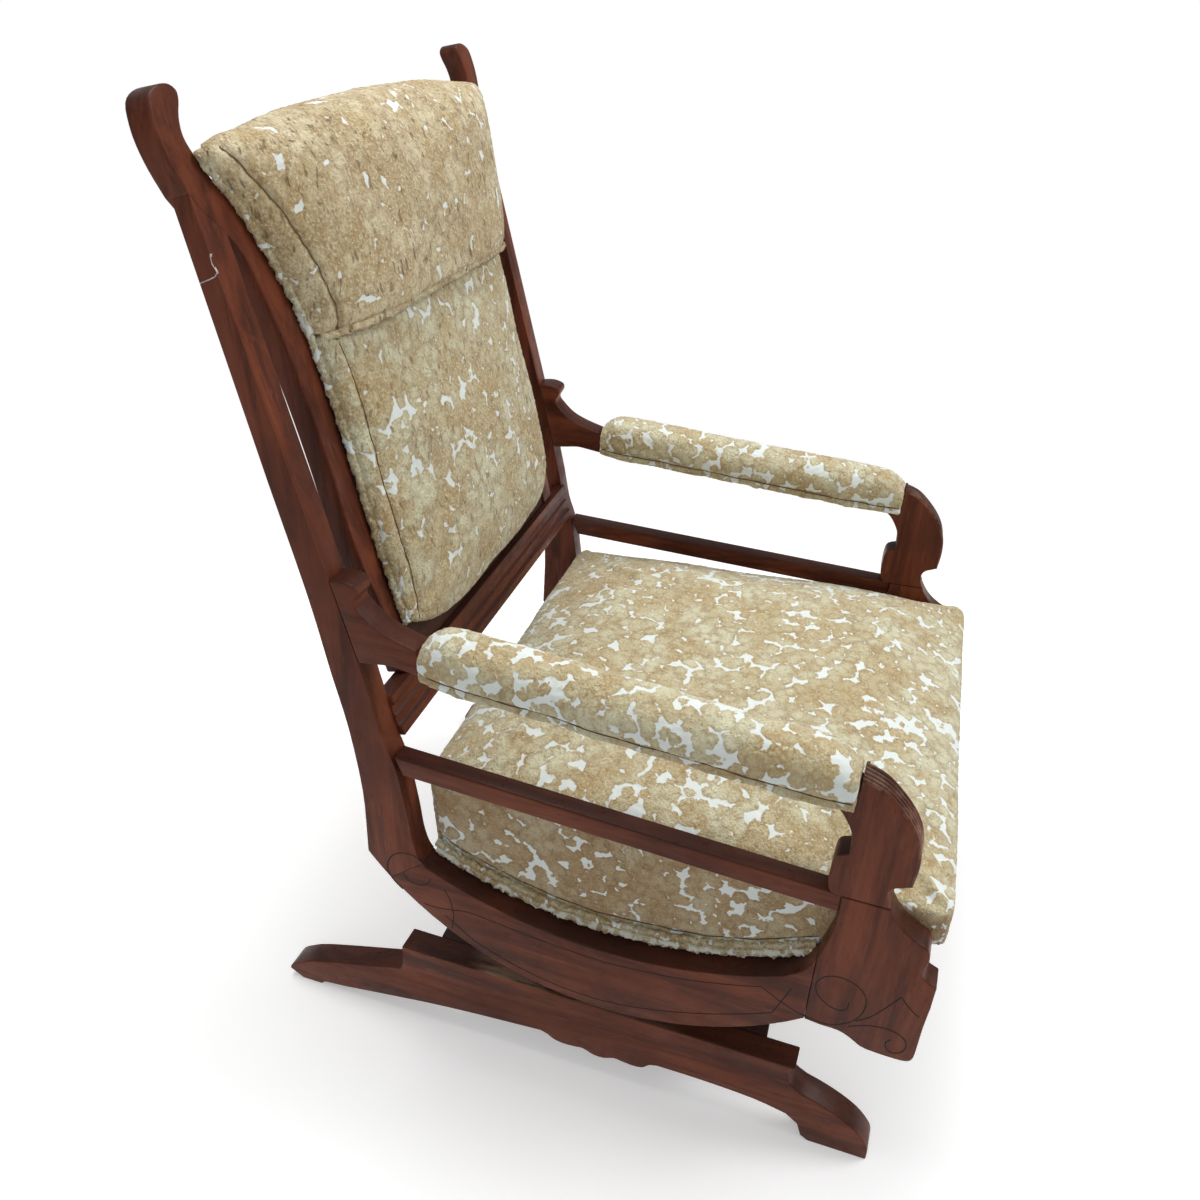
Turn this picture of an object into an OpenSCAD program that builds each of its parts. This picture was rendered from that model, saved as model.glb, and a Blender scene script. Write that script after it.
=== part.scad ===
// Platform rocker: an upholstered chair on curved runners that roll on a floor platform.
// +Z is up, the sitter faces -Y, and the origin is on the floor at the middle of the platform.
// Side outlines are drawn in the side plane as [towards the rear, up] and sawn from board.

/* [Overall] */
// Width over the two side frames, level with the line where the runners roll
frame_w = 630; // [560:5:700]
// Depth of a side frame, from the front foot to the rear post
side_d = 640; // [600:5:680]
// Height of the arms above the runners' rolling edge
arm_h = 454; // [430:4:480]
// Turn of each side frame out of square, wider at the front, in degrees
splay = 2.9; // [0:0.1:4]

/* [Platform] */
// Height of the platform's rolling surface above the floor
platform_h = 126; // [110:1:140]
// Length of a platform beam from toe to heel
beam_l = 764; // [700:4:820]
// Thickness of a platform beam
beam_t = 31; // [26:1:36]
// Width of each cross board of the platform
cross_board_w = 92; // [70:2:100]
// Thickness of each cross board
cross_board_t = 20; // [14:1:26]

/* [Runners and posts] */
// Radius of the runner's rolling edge
rocker_r = 347; // [335:1:380]
// Height of the runner above its rolling edge at the middle
runner_h = 98.5; // [85:0.5:110]
// Radius of the runner's upper edge
runner_top_r = 465; // [450:5:500]
// Thickness of the boards of a side frame
side_t = 28; // [24:1:32]
// Clearance between a runner and the platform
roll_gap = 0.5; // [0.3:0.1:1]
// Height of the side rail's section
rail_h = 24; // [18:1:30]
// Thickness of the side rail
rail_t = 22; // [16:1:24]

/* [Back] */
// Length of the back from the moulded rail to the top of the ears, along its lean
back_l = 631; // [600:1:660]
// Distance from a side's outer face to the inner edge of the curved back stile
wing_w = 92; // [84:1:100]
// Lean of the back's front face from upright, in degrees
back_lean = 13.5; // [11:0.5:16]
// Thickness of the curved back stiles
stile_t = 24; // [18:1:28]
// Height of the moulded rail across the bottom of the back
moulded_rail_h = 50; // [40:1:56]
// Depth of the moulded rail
moulded_rail_d = 22; // [18:1:26]
// Thickness of the back's upholstery at its crown
back_pad_t = 46; // [34:1:56]
// Thickness of the headrest's upholstery at its crown
headrest_t = 66; // [50:1:76]

/* [Arms] */
// Width of an arm pad
arm_pad_w = 64; // [54:1:74]
// Height of an arm pad above the wooden arm
arm_pad_h = 36; // [26:1:46]
// Number of reeds along the top of an arm's scroll
reeds = 5; // [3:1:7]
// Depth of the grooves between reeds
reed_depth = 1.6; // [0.8:0.2:2.4]

/* [Seat] */
// Height of the seat's upper seam above the floor
seat_seam_z = 398; // [390:1:405]
// Rise of the seat's crown above the seam
seat_crown = 34; // [20:1:45]
// Height of the upholstered front edge of the seat
seat_edge_h = 60; // [50:1:70]
// Thickness of the upholstered skirt round the seat frame
skirt_t = 8; // [6:0.5:12]
// Thickness of the seat frame's rails
seat_rail_t = 22; // [18:1:28]
// Height of the seat frame's side rails
seat_rail_h = 94; // [80:1:105]
// Width of a webbing strap
web_w = 50; // [40:1:60]

/* [Centring springs] */
// Mean radius of a centring coil
coil_r = 13; // [10:0.5:16]
// Wire diameter of a centring coil
coil_wire = 4.5; // [3:0.5:6]
// Turns of a centring coil
coil_turns = 6; // [4:1:7]
// Thickness of the spring bracket's plate
bracket_t = 3; // [2:0.5:4]
// Length of a spring bracket
bracket_l = 96; // [84:2:110]

/* [Hidden] */

// Colours
walnut = [0.40, 0.21, 0.16];
walnut_dark = [0.25, 0.13, 0.10];
velvet = [0.76, 0.66, 0.44];
iron = [0.20, 0.20, 0.21];
steel = [0.50, 0.50, 0.52];
webbing_tan = [0.62, 0.52, 0.36];
cambric = [0.12, 0.12, 0.13];

// Fits
joint_gap = 0.2;
soft_gap = 0.4;
over = 5;
right = -1;
left = 1;

// Middle of the whole chair's depth, brought over the origin
centre_shift = 13.8;
// Where the runners touch the platform, as a share of the side's depth
roll_share = -0.0813;
roll_y = roll_share * side_d;
frame_base_z = platform_h + roll_gap;
rock_axis_z = frame_base_z + rocker_r;
runner_top_z = frame_base_z + runner_h;
runner_top_centre_z = runner_top_z + runner_top_r;

// Smooth curve through a list of points, with n steps from each to the next
function along(p, i) = p[max(0, min(len(p) - 1, i))];
function blend4(a, b, c, d, t) =
  0.5 * (2 * b + (c - a) * t + (2 * a - 5 * b + 4 * c - d) * t * t
  + (3 * b - a - 3 * c + d) * t * t * t);
function smooth(p, n = 4) = [
  for (i = [0 : len(p) - 2])
    for (k = [0 : n - 1])
      blend4(along(p, i - 1), along(p, i), along(p, i + 1), along(p, i + 2), k / n),
  p[len(p) - 1]
];
function scaled(shares, w, h) = [for (s = shares) [s[0] * w, s[1] * h]];
function side_pts(shares) = [for (s = shares) [s[0] * side_d, frame_base_z + s[1] * arm_h]];
function reversed(p) = [for (i = [len(p) - 1 : -1 : 0]) p[i]];

// Height of the runner's two curved edges at a place along the side
function rolling_z(y) = rock_axis_z - sqrt(pow(rocker_r, 2) - pow(y - roll_y, 2));
function runner_top(y) = runner_top_centre_z - sqrt(pow(runner_top_r, 2) - pow(y - roll_y, 2));

// Half of the clear width between the side frames, less a board of thickness t
function half_in(y, t) = frame_w / 2 - tan(splay) * y - t / cos(splay);

// Puts a side's pieces in place: x = 0 is its outer face and +x points inwards
module side(s) {
  mirror([s > 0 ? 1 : 0, 0, 0])
    translate([-frame_w / 2, centre_shift, 0])
      rotate([0, 0, -splay])
        children();
}

// A board sawn to a side outline, from depth x for thickness t
module board(x, t) {
  translate([x, 0, 0])
    rotate([90, 0, 90])
      linear_extrude(height = t)
        children();
}

// A board lying across between the side frames, from y0 to y1, cut to their splay
module across(y0, y1, z0, z1, inset) {
  translate([0, centre_shift, z0])
    linear_extrude(height = z1 - z0)
      polygon([
        [-half_in(y0, inset), y0], [half_in(y0, inset), y0],
        [half_in(y1, inset), y1], [-half_in(y1, inset), y1]
      ]);
}

// A closed skin over rings of points that all have the same count
function ring_faces(rings, n) = [
  for (i = [0 : rings - 2])
    for (k = [0 : n - 1])
      let (a = i * n + k, b = i * n + (k + 1) % n, c = a + n, d = b + n)
        for (f = [[a, b, d], [a, d, c]]) f
];
function fan(first, n, centre, flip) = [
  for (k = [0 : n - 1])
    let (a = first + k, b = first + (k + 1) % n)
      flip ? [centre, b, a] : [centre, a, b]
];
function flat_points(rings) = [for (r = rings) for (p = r) p];
function middle(r) = [for (i = [0 : 2]) (max([for (p = r) p[i]]) + min([for (p = r) p[i]])) / 2];
module skin(rings, first_cap, last_cap) {
  n = len(rings[0]);
  m = len(rings);
  polyhedron(
    points = concat(flat_points(rings), [first_cap, last_cap]),
    faces = concat(ring_faces(m, n), fan(0, n, m * n, true), fan((m - 1) * n, n, m * n + 1, false))
  );
}

// Platform beam outline: shares of the beam's length and of the platform's height,
// measured from the middle of the beam and from the floor
beam_heel_shares = [[0.497, 0.10], [0.474, 0], [0.438, 0], [0.430, 0.045], [0.392, 0.075]];
beam_rear_arch_shares = [[0.392, 0.075], [0.308, 0.165], [0.229, 0.246], [0.137, 0.317], [0.031, 0.38]];
beam_apron_shares = [
  [0.031, 0.38], [0.020, 0.355], [0.008, 0.305], [-0.009, 0.285], [-0.028, 0.295], [-0.042, 0.305],
  [-0.059, 0.26], [-0.077, 0.26], [-0.094, 0.305], [-0.108, 0.295], [-0.127, 0.285], [-0.142, 0.305],
  [-0.152, 0.37], [-0.165, 0.40]
];
beam_front_arch_shares = [[-0.165, 0.40], [-0.24, 0.40], [-0.32, 0.37], [-0.372, 0.30]];
beam_toe_shares = [[-0.372, 0.30], [-0.392, 0.20], [-0.400, 0.05], [-0.412, 0], [-0.503, 0]];
beam_instep_shares = [
  [-0.503, 0], [-0.502, 0.14], [-0.494, 0.25], [-0.474, 0.39], [-0.448, 0.50],
  [-0.418, 0.59], [-0.391, 0.65]
];
beam_front_cove_shares = [[-0.391, 0.65], [-0.372, 0.73], [-0.364, 0.83], [-0.366, 0.93], [-0.376, 1]];
beam_rear_step_shares = [[0.270, 1], [0.273, 0.72], [0.279, 0.655], [0.294, 0.63]];
beam_foot_top_shares = [[0.294, 0.63], [0.433, 0.36], [0.474, 0.24], [0.492, 0.16], [0.497, 0.10]];

module beam_outline() {
  part = [
    beam_heel_shares, smooth(beam_rear_arch_shares, 3), smooth(beam_apron_shares, 3),
    smooth(beam_front_arch_shares, 3), beam_toe_shares, smooth(beam_instep_shares, 3),
    smooth(beam_front_cove_shares, 3), smooth(beam_rear_step_shares, 3), smooth(beam_foot_top_shares, 3)
  ];
  polygon([
    for (p = part)
      for (i = [0 : len(p) - 2])
        [p[i][0] * beam_l, p[i][1] * platform_h]
  ]);
}

module platform_beam(s) {
  color(walnut)
    side(s)
      board(0, beam_t)
        beam_outline();
}

// Rear and front edges of the platform's cross boards, as shares of the beam's length
rear_board_end_share = 0.218;
front_board_end_share = -0.323;
module platform_board(y0) {
  color(walnut_dark)
    across(y0, y0 + cross_board_w, platform_h - cross_board_t, platform_h, beam_t + joint_gap);
}
module platform_front_board() platform_board(front_board_end_share * beam_l);
module platform_rear_board() platform_board(rear_board_end_share * beam_l - cross_board_w);

// Spring brackets: a plate on the inner face with a shelf that carries two coils in cups
shelf_d = 40;
plate_h = 42;
shelf_drop = 34;
shelf_rise = 26;
lower_shelf_z = platform_h - shelf_drop;
upper_shelf_z = frame_base_z + shelf_rise;
shelf_mid_d = shelf_d / 2 + bracket_t;
coil_step = 44;
cup_h = 6;
cup_gap = 2.5;
cup_r = coil_r + coil_wire / 2 + cup_gap;
cup_wall = 1.5;
screw_r = 2.2;
screw_head_r = 4.5;
screw_l = 18;
screw_head_h = 2.4;
screw_gap = 0.05;
screw_inset = 10;

module bracket_side(x0, shelf_z, up) {
  plate_z = up > 0 ? shelf_z - bracket_t : shelf_z + bracket_t - plate_h;
  cup_z = up > 0 ? shelf_z - cup_h - bracket_t : shelf_z + bracket_t;
  difference() {
    union() {
      translate([x0, roll_y - bracket_l / 2, plate_z])
        cube([bracket_t, bracket_l, plate_h]);
      translate([x0, roll_y - bracket_l / 2, up > 0 ? shelf_z - bracket_t : shelf_z])
        cube([shelf_d + bracket_t, bracket_l, bracket_t]);
      for (k = [-1, 1])
        translate([x0 + shelf_mid_d, roll_y + k * coil_step / 2, cup_z])
          difference() {
            cylinder(h = cup_h, r = cup_r + cup_wall, $fn = 48);
            translate([0, 0, -over])
              cylinder(h = cup_h + 2 * over, r = cup_r, $fn = 48);
          }
    }
    for (k = [-1, 1])
      translate([x0 - over, roll_y + k * (bracket_l / 2 - screw_inset), bracket_screw_z(shelf_z, up)])
        rotate([0, 90, 0])
          cylinder(h = bracket_t + 2 * over, r = screw_r + screw_gap, $fn = 32);
  }
}
function bracket_screw_z(shelf_z, up) =
  up > 0 ? shelf_z - bracket_t + plate_h - screw_inset : shelf_z + bracket_t - plate_h + screw_inset;

module screw_in_side(x0, y, z, depth) {
  translate([x0 - depth, y, z])
    rotate([0, 90, 0]) {
      cylinder(h = depth, r = screw_r, $fn = 32);
      translate([0, 0, depth])
        cylinder(h = screw_head_h, r1 = screw_head_r, r2 = screw_head_r * 0.72, $fn = 32);
    }
}

module lower_spring_bracket(s) {
  color(iron)
    side(s)
      bracket_side(beam_t + joint_gap, lower_shelf_z, -1);
}
module upper_spring_bracket(s) {
  color(iron)
    side(s)
      bracket_side(side_t + joint_gap, upper_shelf_z, 1);
}

// Centring coils: each one a single wire wound from cup to cup
coil_end_gap = 0.4;
coil_bottom_z = lower_shelf_z + bracket_t + coil_end_gap;
coil_top_z = upper_shelf_z - bracket_t - coil_end_gap;
coil_facets = 8;
wire_facets = 6;
// A wound wire: radius r at the middle, r_end at both ends, from z0 to z1
function coil_ring(r, z, a, wire) = [
  for (k = [0 : wire_facets - 1])
    let (q = 360 * k / wire_facets)
      [(r + wire * cos(q)) * cos(a), (r + wire * cos(q)) * sin(a), z + wire * sin(q)]
];
function coil_r_at(t, r, r_end) = r + (r_end - r) * pow(2 * t - 1, 2);
// Rings of points along a wire of radius r_end at both ends and r in the middle
function coil_rings(r, r_end, z0, z1, turns, wire_d) =
  let (steps = turns * coil_facets, w = wire_d / 2, rise = z1 - z0 - wire_d)
  [
    for (i = [0 : steps])
      let (t = i / steps)
        coil_ring(coil_r_at(t, r, r_end), z0 + w + rise * t, 360 * i / coil_facets, w)
  ];
// Least distance between a wire's points and those a turn further on, or a step either side
function turn_gap(rings) = min([
  for (i = [0 : len(rings) - coil_facets - 2], d = [-1, 0, 1])
    for (a = rings[i], b = rings[i + coil_facets + d]) norm(a - b)
]);
module wound_coil(r, r_end, z0, z1, turns, wire_d) {
  rings = coil_rings(r, r_end, z0, z1, turns, wire_d);
  skin(rings, middle(rings[0]), middle(rings[len(rings) - 1]));
}
echo(least_gap_between_centring_coil_turns =
  turn_gap(coil_rings(coil_r, coil_r, coil_bottom_z, coil_top_z, coil_turns, coil_wire)));

module coil_springs(s) {
  color(steel)
    side(s)
      for (k = [-1, 1])
        translate([side_t / 2 + beam_t / 2 + shelf_mid_d + joint_gap, roll_y + k * coil_step / 2, 0])
          wound_coil(coil_r, coil_r, coil_bottom_z, coil_top_z, coil_turns, coil_wire);
}

module platform_screws() {
  color(steel)
    for (s = [right, left])
      side(s)
        for (k = [-1, 1])
          screw_in_side(
            beam_t + joint_gap + bracket_t + screw_gap, roll_y + k * (bracket_l / 2 - screw_inset),
            bracket_screw_z(lower_shelf_z, -1), screw_l
          );
}

// Side frame outlines: shares of the side's depth and of the arm height over the rolling edge
post_front_shares = [
  [0.261, 0.345], [0.270, 0.369], [0.277, 0.417], [0.281, 0.486], [0.287, 0.558], [0.292, 0.613],
  [0.302, 0.671], [0.316, 0.732], [0.328, 0.829], [0.341, 0.926]
];
// Rear edge: how far behind the back's front plane, as shares of the side's depth and of the
// back's length, and below that as the other outlines
post_rear_upper_shares = [
  [0.0295, 0.8883], [0.0336, 0.7662], [0.0400, 0.6033], [0.0442, 0.4724], [0.0494, 0.2852],
  [0.0602, 0.1387], [0.0673, 0.0248]
];
post_rear_lower_shares = [[0.364, 0.543], [0.366, 0.404]];
front_post_foot_shares = [
  [-0.441, 0.191], [-0.469, 0.186], [-0.500, 0.184], [-0.522, 0.169], [-0.541, 0.151],
  [-0.566, 0.145], [-0.609, 0.144], [-0.625, 0.155], [-0.628, 0.184]
];
front_post_front_shares = [
  [-0.628, 0.184], [-0.628, 0.281], [-0.630, 0.347], [-0.630, 0.417]
];
front_post_notch_shares = [
  [-0.630, 0.417], [-0.611, 0.431], [-0.603, 0.455], [-0.608, 0.492], [-0.602, 0.525],
  [-0.584, 0.539], [-0.559, 0.565], [-0.542, 0.594], [-0.533, 0.616]
];
front_post_rear_shares = [
  [-0.459, 0.616], [-0.459, 0.561], [-0.455, 0.492], [-0.448, 0.444], [-0.441, 0.406]
];
scroll_neck_shares = [
  [-0.533, 0.616], [-0.527, 0.638], [-0.525, 0.662], [-0.531, 0.677], [-0.544, 0.686],
  [-0.555, 0.693]
];
scroll_front_shares = [
  [-0.555, 0.693], [-0.558, 0.743], [-0.555, 0.792], [-0.544, 0.836], [-0.522, 0.880],
  [-0.487, 0.926], [-0.452, 0.946]
];
scroll_arch_shares = [
  [-0.402, 0.871], [-0.425, 0.858], [-0.442, 0.829], [-0.453, 0.794], [-0.456, 0.741]
];
scroll_nub_shares = [
  [-0.456, 0.741], [-0.439, 0.730], [-0.434, 0.704], [-0.434, 0.646], [-0.441, 0.620],
  [-0.459, 0.616]
];
arm_ear_shares = [
  [0.376, 1.127], [0.353, 1.130], [0.333, 1.122], [0.330, 1.105], [0.339, 1.080], [0.328, 1.058],
  [0.306, 1.030], [0.275, 1.010], [0.237, 0.994]
];
arm_under_shares = [
  [0.234, 0.928], [0.269, 0.935], [0.287, 0.937], [0.308, 0.933], [0.341, 0.926]
];
// The runner's upper edge: how it rises to the front post and tucks behind the rear one,
// as shares of the runner's height
front_rise_shares = [[0.3046, 0], [0.132, 0.142], [0.051, 0.274]];
runner_tuck_share = 0.04;
front_joint_top_share = 0.406;
rear_joint_angle = 49;
rear_corner_angle = 56;
front_joint_share = -0.441;
front_joint_y = front_joint_share * side_d;
arc_steps = 24;
corner_steps = 4;
function rolling_at(a) = [roll_y + rocker_r * sin(a), rock_axis_z - rocker_r * cos(a)];
front_joint_angle = -asin((roll_y - front_joint_y) / rocker_r);
rear_inner = side_pts([post_front_shares[0]])[0];

module runner_outline() {
  bottom = [
    for (i = [0 : arc_steps])
      rolling_at(front_joint_angle + (rear_joint_angle - front_joint_angle) * i / arc_steps)
  ];
  top_end = rear_inner[0] - runner_tuck_share * runner_h;
  top_start = front_joint_y + front_rise_shares[0][0] * runner_h;
  top = [
    for (i = [0 : arc_steps])
      let (y = top_end + (top_start - top_end) * i / arc_steps) [y, runner_top(y)]
  ];
  front_rise = smooth(concat(
    [for (p = front_rise_shares) [front_joint_y, runner_top(top_start)] + p * runner_h],
    side_pts([[front_joint_share, front_joint_top_share]])
  ), 3);
  polygon(concat(bottom, [rear_inner], top, [for (i = [1 : len(front_rise) - 1]) front_rise[i]]));
}
module runner(s) {
  color(walnut)
    side(s)
      board(0, side_t)
        runner_outline();
}

// The height that a share of the arm's height stands for
function share_z(t) = frame_base_z + t * arm_h;
module rear_post_outline() {
  last = post_front_shares[len(post_front_shares) - 1];
  front = smooth(concat(
    side_pts([for (i = [0 : len(post_front_shares) - 2]) post_front_shares[i]]),
    [[back_front_y(share_z(last[1])), share_z(last[1])]]
  ), 3);
  rear = smooth(concat(
    [for (p = post_rear_upper_shares) [back_y(p[1] * back_l) + p[0] * side_d, back_z(p[1] * back_l)]],
    side_pts(post_rear_lower_shares)
  ), 3);
  corner = [
    for (i = [0 : corner_steps])
      rolling_at(rear_corner_angle + (rear_joint_angle - rear_corner_angle) * i / corner_steps)
  ];
  polygon(concat(front, [[back_front_y(rear[0][1]), rear[0][1]]], rear, corner));
}
// The part of the rear post's top that the ear's joint cuts off
post_cut_shares = [[-0.3, 0.875], [0.7, 0.813], [0.7, 1.2], [-0.3, 1.2]];
module rear_post(s) {
  color(walnut)
    difference() {
      side(s)
        board(0, side_t)
          rear_post_outline();
      back_plane(s)
        translate([0, 0, -side_d / 4])
          linear_extrude(height = side_d / 2)
            polygon(concat(
              [for (p = back_pts([post_cut_shares[0]])) p - [0, joint_gap]],
              reversed([for (p = back_pts(stile_joint_shares)) p - [0, joint_gap]]),
              back_pts([for (i = [1 : len(post_cut_shares) - 1]) post_cut_shares[i]])
            ));
    }
}

module front_post(s) {
  foot = smooth(side_pts(front_post_foot_shares), 3);
  front = side_pts(front_post_front_shares);
  notch = smooth(side_pts(front_post_notch_shares), 3);
  rear = smooth(side_pts(front_post_rear_shares), 3);
  color(walnut)
    side(s)
      board(0, side_t)
        polygon(concat(
          [[front_joint_y - joint_gap, foot[0][1]]], [for (i = [1 : len(foot) - 1]) foot[i]],
          [for (i = [1 : len(front) - 1]) front[i]], [for (i = [1 : len(notch) - 1]) notch[i]],
          [for (i = [0 : len(rear) - 2]) rear[i]], [[front_joint_y - joint_gap, rear[len(rear) - 1][1]]]
        ));
}

// Arm scroll, reeded over its front and top; its shoulder carries the arm pad's end
arm_front_y = scroll_arch_shares[0][0] * side_d;
shoulder_y = scroll_front_shares[len(scroll_front_shares) - 1][0] * side_d;
arm_wood_h = 22;
arm_pad_rear_share = 0.2325;
arm_pad_rear_y = arm_pad_rear_share * side_d;
arm_under_share = 0.871;
arm_rise_share = 0.057;
function arm_under_z(y) =
  share_z(arm_under_share + arm_rise_share * (y - arm_front_y) / (arm_pad_rear_y - arm_front_y));
scroll_front = smooth(side_pts(scroll_front_shares), 4);
function scroll_normal(i) =
  let (n = len(scroll_front) - 1, v = scroll_front[min(i + 1, n)] - scroll_front[max(i - 1, 0)])
  [v[1], -v[0]] / norm(v);
module scroll_outline(depth) {
  n = len(scroll_front) - 1;
  under = smooth(side_pts(scroll_arch_shares), 4);
  polygon(concat(
    [for (p = smooth(side_pts(scroll_neck_shares), 3)) p + [0, joint_gap]],
    [for (i = [1 : n]) scroll_front[i] + scroll_normal(i) * (i < n ? depth : 0)],
    [for (y = [shoulder_y, arm_front_y]) [y, arm_under_z(y) + arm_wood_h]],
    under,
    [for (i = [1 : 15]) smooth(side_pts(scroll_nub_shares), 3)[i] + [0, joint_gap]]
  ));
}
module arm_scroll(s) {
  reed_w = (side_t - (reeds - 1) * reed_depth) / reeds;
  color(walnut)
    side(s)
      union() {
        for (k = [0 : reeds - 1])
          board(k * (reed_w + reed_depth), reed_w)
            scroll_outline(0);
        for (k = [1 : reeds - 1])
          board(k * (reed_w + reed_depth) - reed_depth, reed_depth)
            scroll_outline(reed_depth);
      }
}

// Wooden arm, hidden under its pad between the ear at the rear and the scroll
module arm(s) {
  ear = smooth(side_pts(arm_ear_shares), 3);
  under = smooth(side_pts(arm_under_shares), 3);
  wood_top_rear = arm_under_z(arm_pad_rear_y) + arm_wood_h;
  front_y = arm_front_y + joint_gap;
  color(walnut)
    side(s)
      board(0, side_t)
        polygon(concat(
          [[back_front_y(ear[0][1]) - joint_gap, ear[0][1]]], [for (i = [1 : len(ear) - 1]) ear[i]],
          [[arm_pad_rear_y, wood_top_rear], [front_y, arm_under_z(arm_front_y) + arm_wood_h]],
          [[front_y, arm_under_z(arm_front_y)], [arm_pad_rear_y, arm_under_z(arm_pad_rear_y)]],
          [for (i = [1 : len(under) - 2]) under[i]],
          [[back_front_y(under[len(under) - 1][1]) - joint_gap, under[len(under) - 1][1]]]
        ));
}

// Arm pad: a soft cap over the wooden arm, with a channel for it
pad_rows = 22;
pad_arc = 14;
function pad_fill(t) = pow(1 - pow(abs(2 * t - 1), 6), 0.5);
function pad_ring(y, t, w, h) =
  let (z0 = arm_under_z(y), f = max(0.35, pad_fill(t)), c = side_t / 2, g = side_t / 2 + soft_gap,
    zt = z0 + arm_wood_h + soft_gap, top = z0 + arm_wood_h + soft_gap + h * f, hw = g + (w / 2 - g) * f)
  concat(
    [[c - g, y, z0 - soft_gap], [c - hw * 0.97, y, z0 - soft_gap], [c - hw, y, z0 + 0.25 * (top - z0)]],
    [
      for (k = [0 : pad_arc])
        let (a = 180 - 180 * k / pad_arc, sx = cos(a), sz = sin(a))
          [
            c + hw * sign(sx) * pow(abs(sx), 0.75), y,
            z0 + (top - z0) * (0.42 + 0.58 * pow(abs(sz), 0.8))
          ]
    ],
    [[c + hw, y, z0 + 0.25 * (top - z0)], [c + hw * 0.97, y, z0 - soft_gap], [c + g, y, z0 - soft_gap]],
    [[c + g, y, zt], [c - g, y, zt]]
  );
module arm_pad(s) {
  y0 = arm_pad_rear_y;
  y1 = shoulder_y + soft_gap;
  rings = [
    for (i = [0 : pad_rows])
      let (t = i / pad_rows, y = y0 + (y1 - y0) * t) pad_ring(y, t, arm_pad_w, arm_pad_h)
  ];
  n = len(rings[0]);
  m = len(rings);
  // Last crown point's index in a ring, and the two caps' middle points
  q = 4 + pad_arc;
  lift = [0, 0, arm_wood_h + arm_pad_h * 0.2];
  mid = [for (r = [rings[0], rings[m - 1]]) [side_t / 2, r[0][1], r[0][2]] + lift];
  rim = concat([for (k = [2 : q]) k], [q + 3, q + 4]);
  cap = concat(
    [[0, 1, 2], [0, 2, q + 4], [q, q + 1, q + 2], [q, q + 2, q + 3]],
    [for (k = [0 : len(rim) - 1]) [rim[k], rim[(k + 1) % len(rim)], m * n]]
  );
  color(velvet)
    side(s)
      polyhedron(
        points = concat(flat_points(rings), mid),
        faces = concat(
          [for (f = ring_faces(m, n)) reversed(f)],
          cap,
          [for (f = cap) [for (k = [2 : -1 : 0]) f[k] == m * n ? m * n + 1 : f[k] + (m - 1) * n]]
        )
      );
}

// Extra gaps where the rail's straight end meets the post's curve
post_curve_gap = 0.2;
rail_foot_gap = 0.4;
module side_rail(s) {
  p = side_pts([[0.2865, 0.6185], [0.2995, 0.6715], [-0.459, 0.616], [-0.459, 0.561]]);
  g = joint_gap + post_curve_gap;
  color(walnut)
    side(s)
      board((side_t - rail_t) / 3, rail_t)
        polygon([
          [p[0][0] - g - rail_foot_gap, p[1][1] - rail_h], [p[1][0] - g, p[1][1]],
          [p[2][0] + g, p[2][1]], [p[2][0] + g, p[2][1] - rail_h]
        ]);
}

// Back plane: its front face leans back from the foot of the moulded rail
back_foot_share_y = 0.302;
back_foot_share_z = 0.6905;
back_foot_y = back_foot_share_y * side_d;
back_foot_z = frame_base_z + back_foot_share_z * arm_h;
function back_front_y(z) = back_foot_y + (z - back_foot_z) * tan(back_lean);
function back_y(v) = back_foot_y + v * sin(back_lean);
function back_z(v) = back_foot_z + v * cos(back_lean);
module back_plane(s) {
  mirror([s > 0 ? 1 : 0, 0, 0])
    translate([0, back_foot_y + centre_shift, back_foot_z])
      rotate([90 - back_lean, 0, 0])
        children();
}
// Sideways place of a point in the back: d is a share of the wing, v a share of the length
function side_x(d, v) = -(frame_w / 2 - tan(splay) * back_y(v * back_l) - d * wing_w);
function back_pts(shares) = [for (p = shares) [side_x(p[0], p[1]), p[1] * back_l]];
ear_shares = [
  [0.005, 0.875], [-0.074, 0.910], [-0.109, 0.940], [-0.100, 0.964], [-0.048, 0.987],
  [0.082, 0.998], [0.234, 1.000], [0.332, 0.992], [0.322, 0.979], [0.248, 0.961], [0.217, 0.940],
  [0.273, 0.917], [0.407, 0.881]
];
stile_inner_shares = [
  [0.407, 0.881], [0.539, 0.855], [0.662, 0.818], [0.796, 0.772], [0.921, 0.709], [1.003, 0.640],
  [1.031, 0.554], [1.029, 0.456], [1.003, 0.371], [0.998, 0.300], [1.017, 0.195], [1.081, 0.082]
];
stile_outer_shares = [
  [0.777, 0.082], [0.746, 0.195], [0.663, 0.280], [0.636, 0.336], [0.652, 0.414], [0.667, 0.494],
  [0.660, 0.581], [0.620, 0.663], [0.549, 0.736], [0.469, 0.785], [0.358, 0.813]
];
stile_joint_shares = [
  [0.358, 0.813], [0.281, 0.824], [0.127, 0.847], [0.005, 0.875]
];
inner_table = [for (p = reversed(smooth(stile_inner_shares, 3))) [p[1], p[0]]];
ear_inner_shares = [[0.917, 0.273], [0.940, 0.217], [0.961, 0.248], [1.0, 0.3]];
top_table = concat(inner_table, ear_inner_shares);
// Half of the clear width between the curved stiles, v in mm along the back
function back_half(v) = -side_x(lookup(v / back_l, top_table), v / back_l);

module back_stile(s) {
  ear = smooth(back_pts(ear_shares), 3);
  inner = smooth(back_pts(stile_inner_shares), 3);
  outer = smooth(back_pts(stile_outer_shares), 3);
  joint = back_pts(stile_joint_shares);
  color(walnut)
    back_plane(s)
      translate([0, 0, -stile_t])
        linear_extrude(height = stile_t)
          polygon(concat(
            [for (i = [1 : len(ear) - 1]) ear[i]], [for (i = [1 : len(inner) - 1]) inner[i]],
            outer, [for (i = [1 : len(joint) - 1]) joint[i]]
          ));
}

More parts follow.
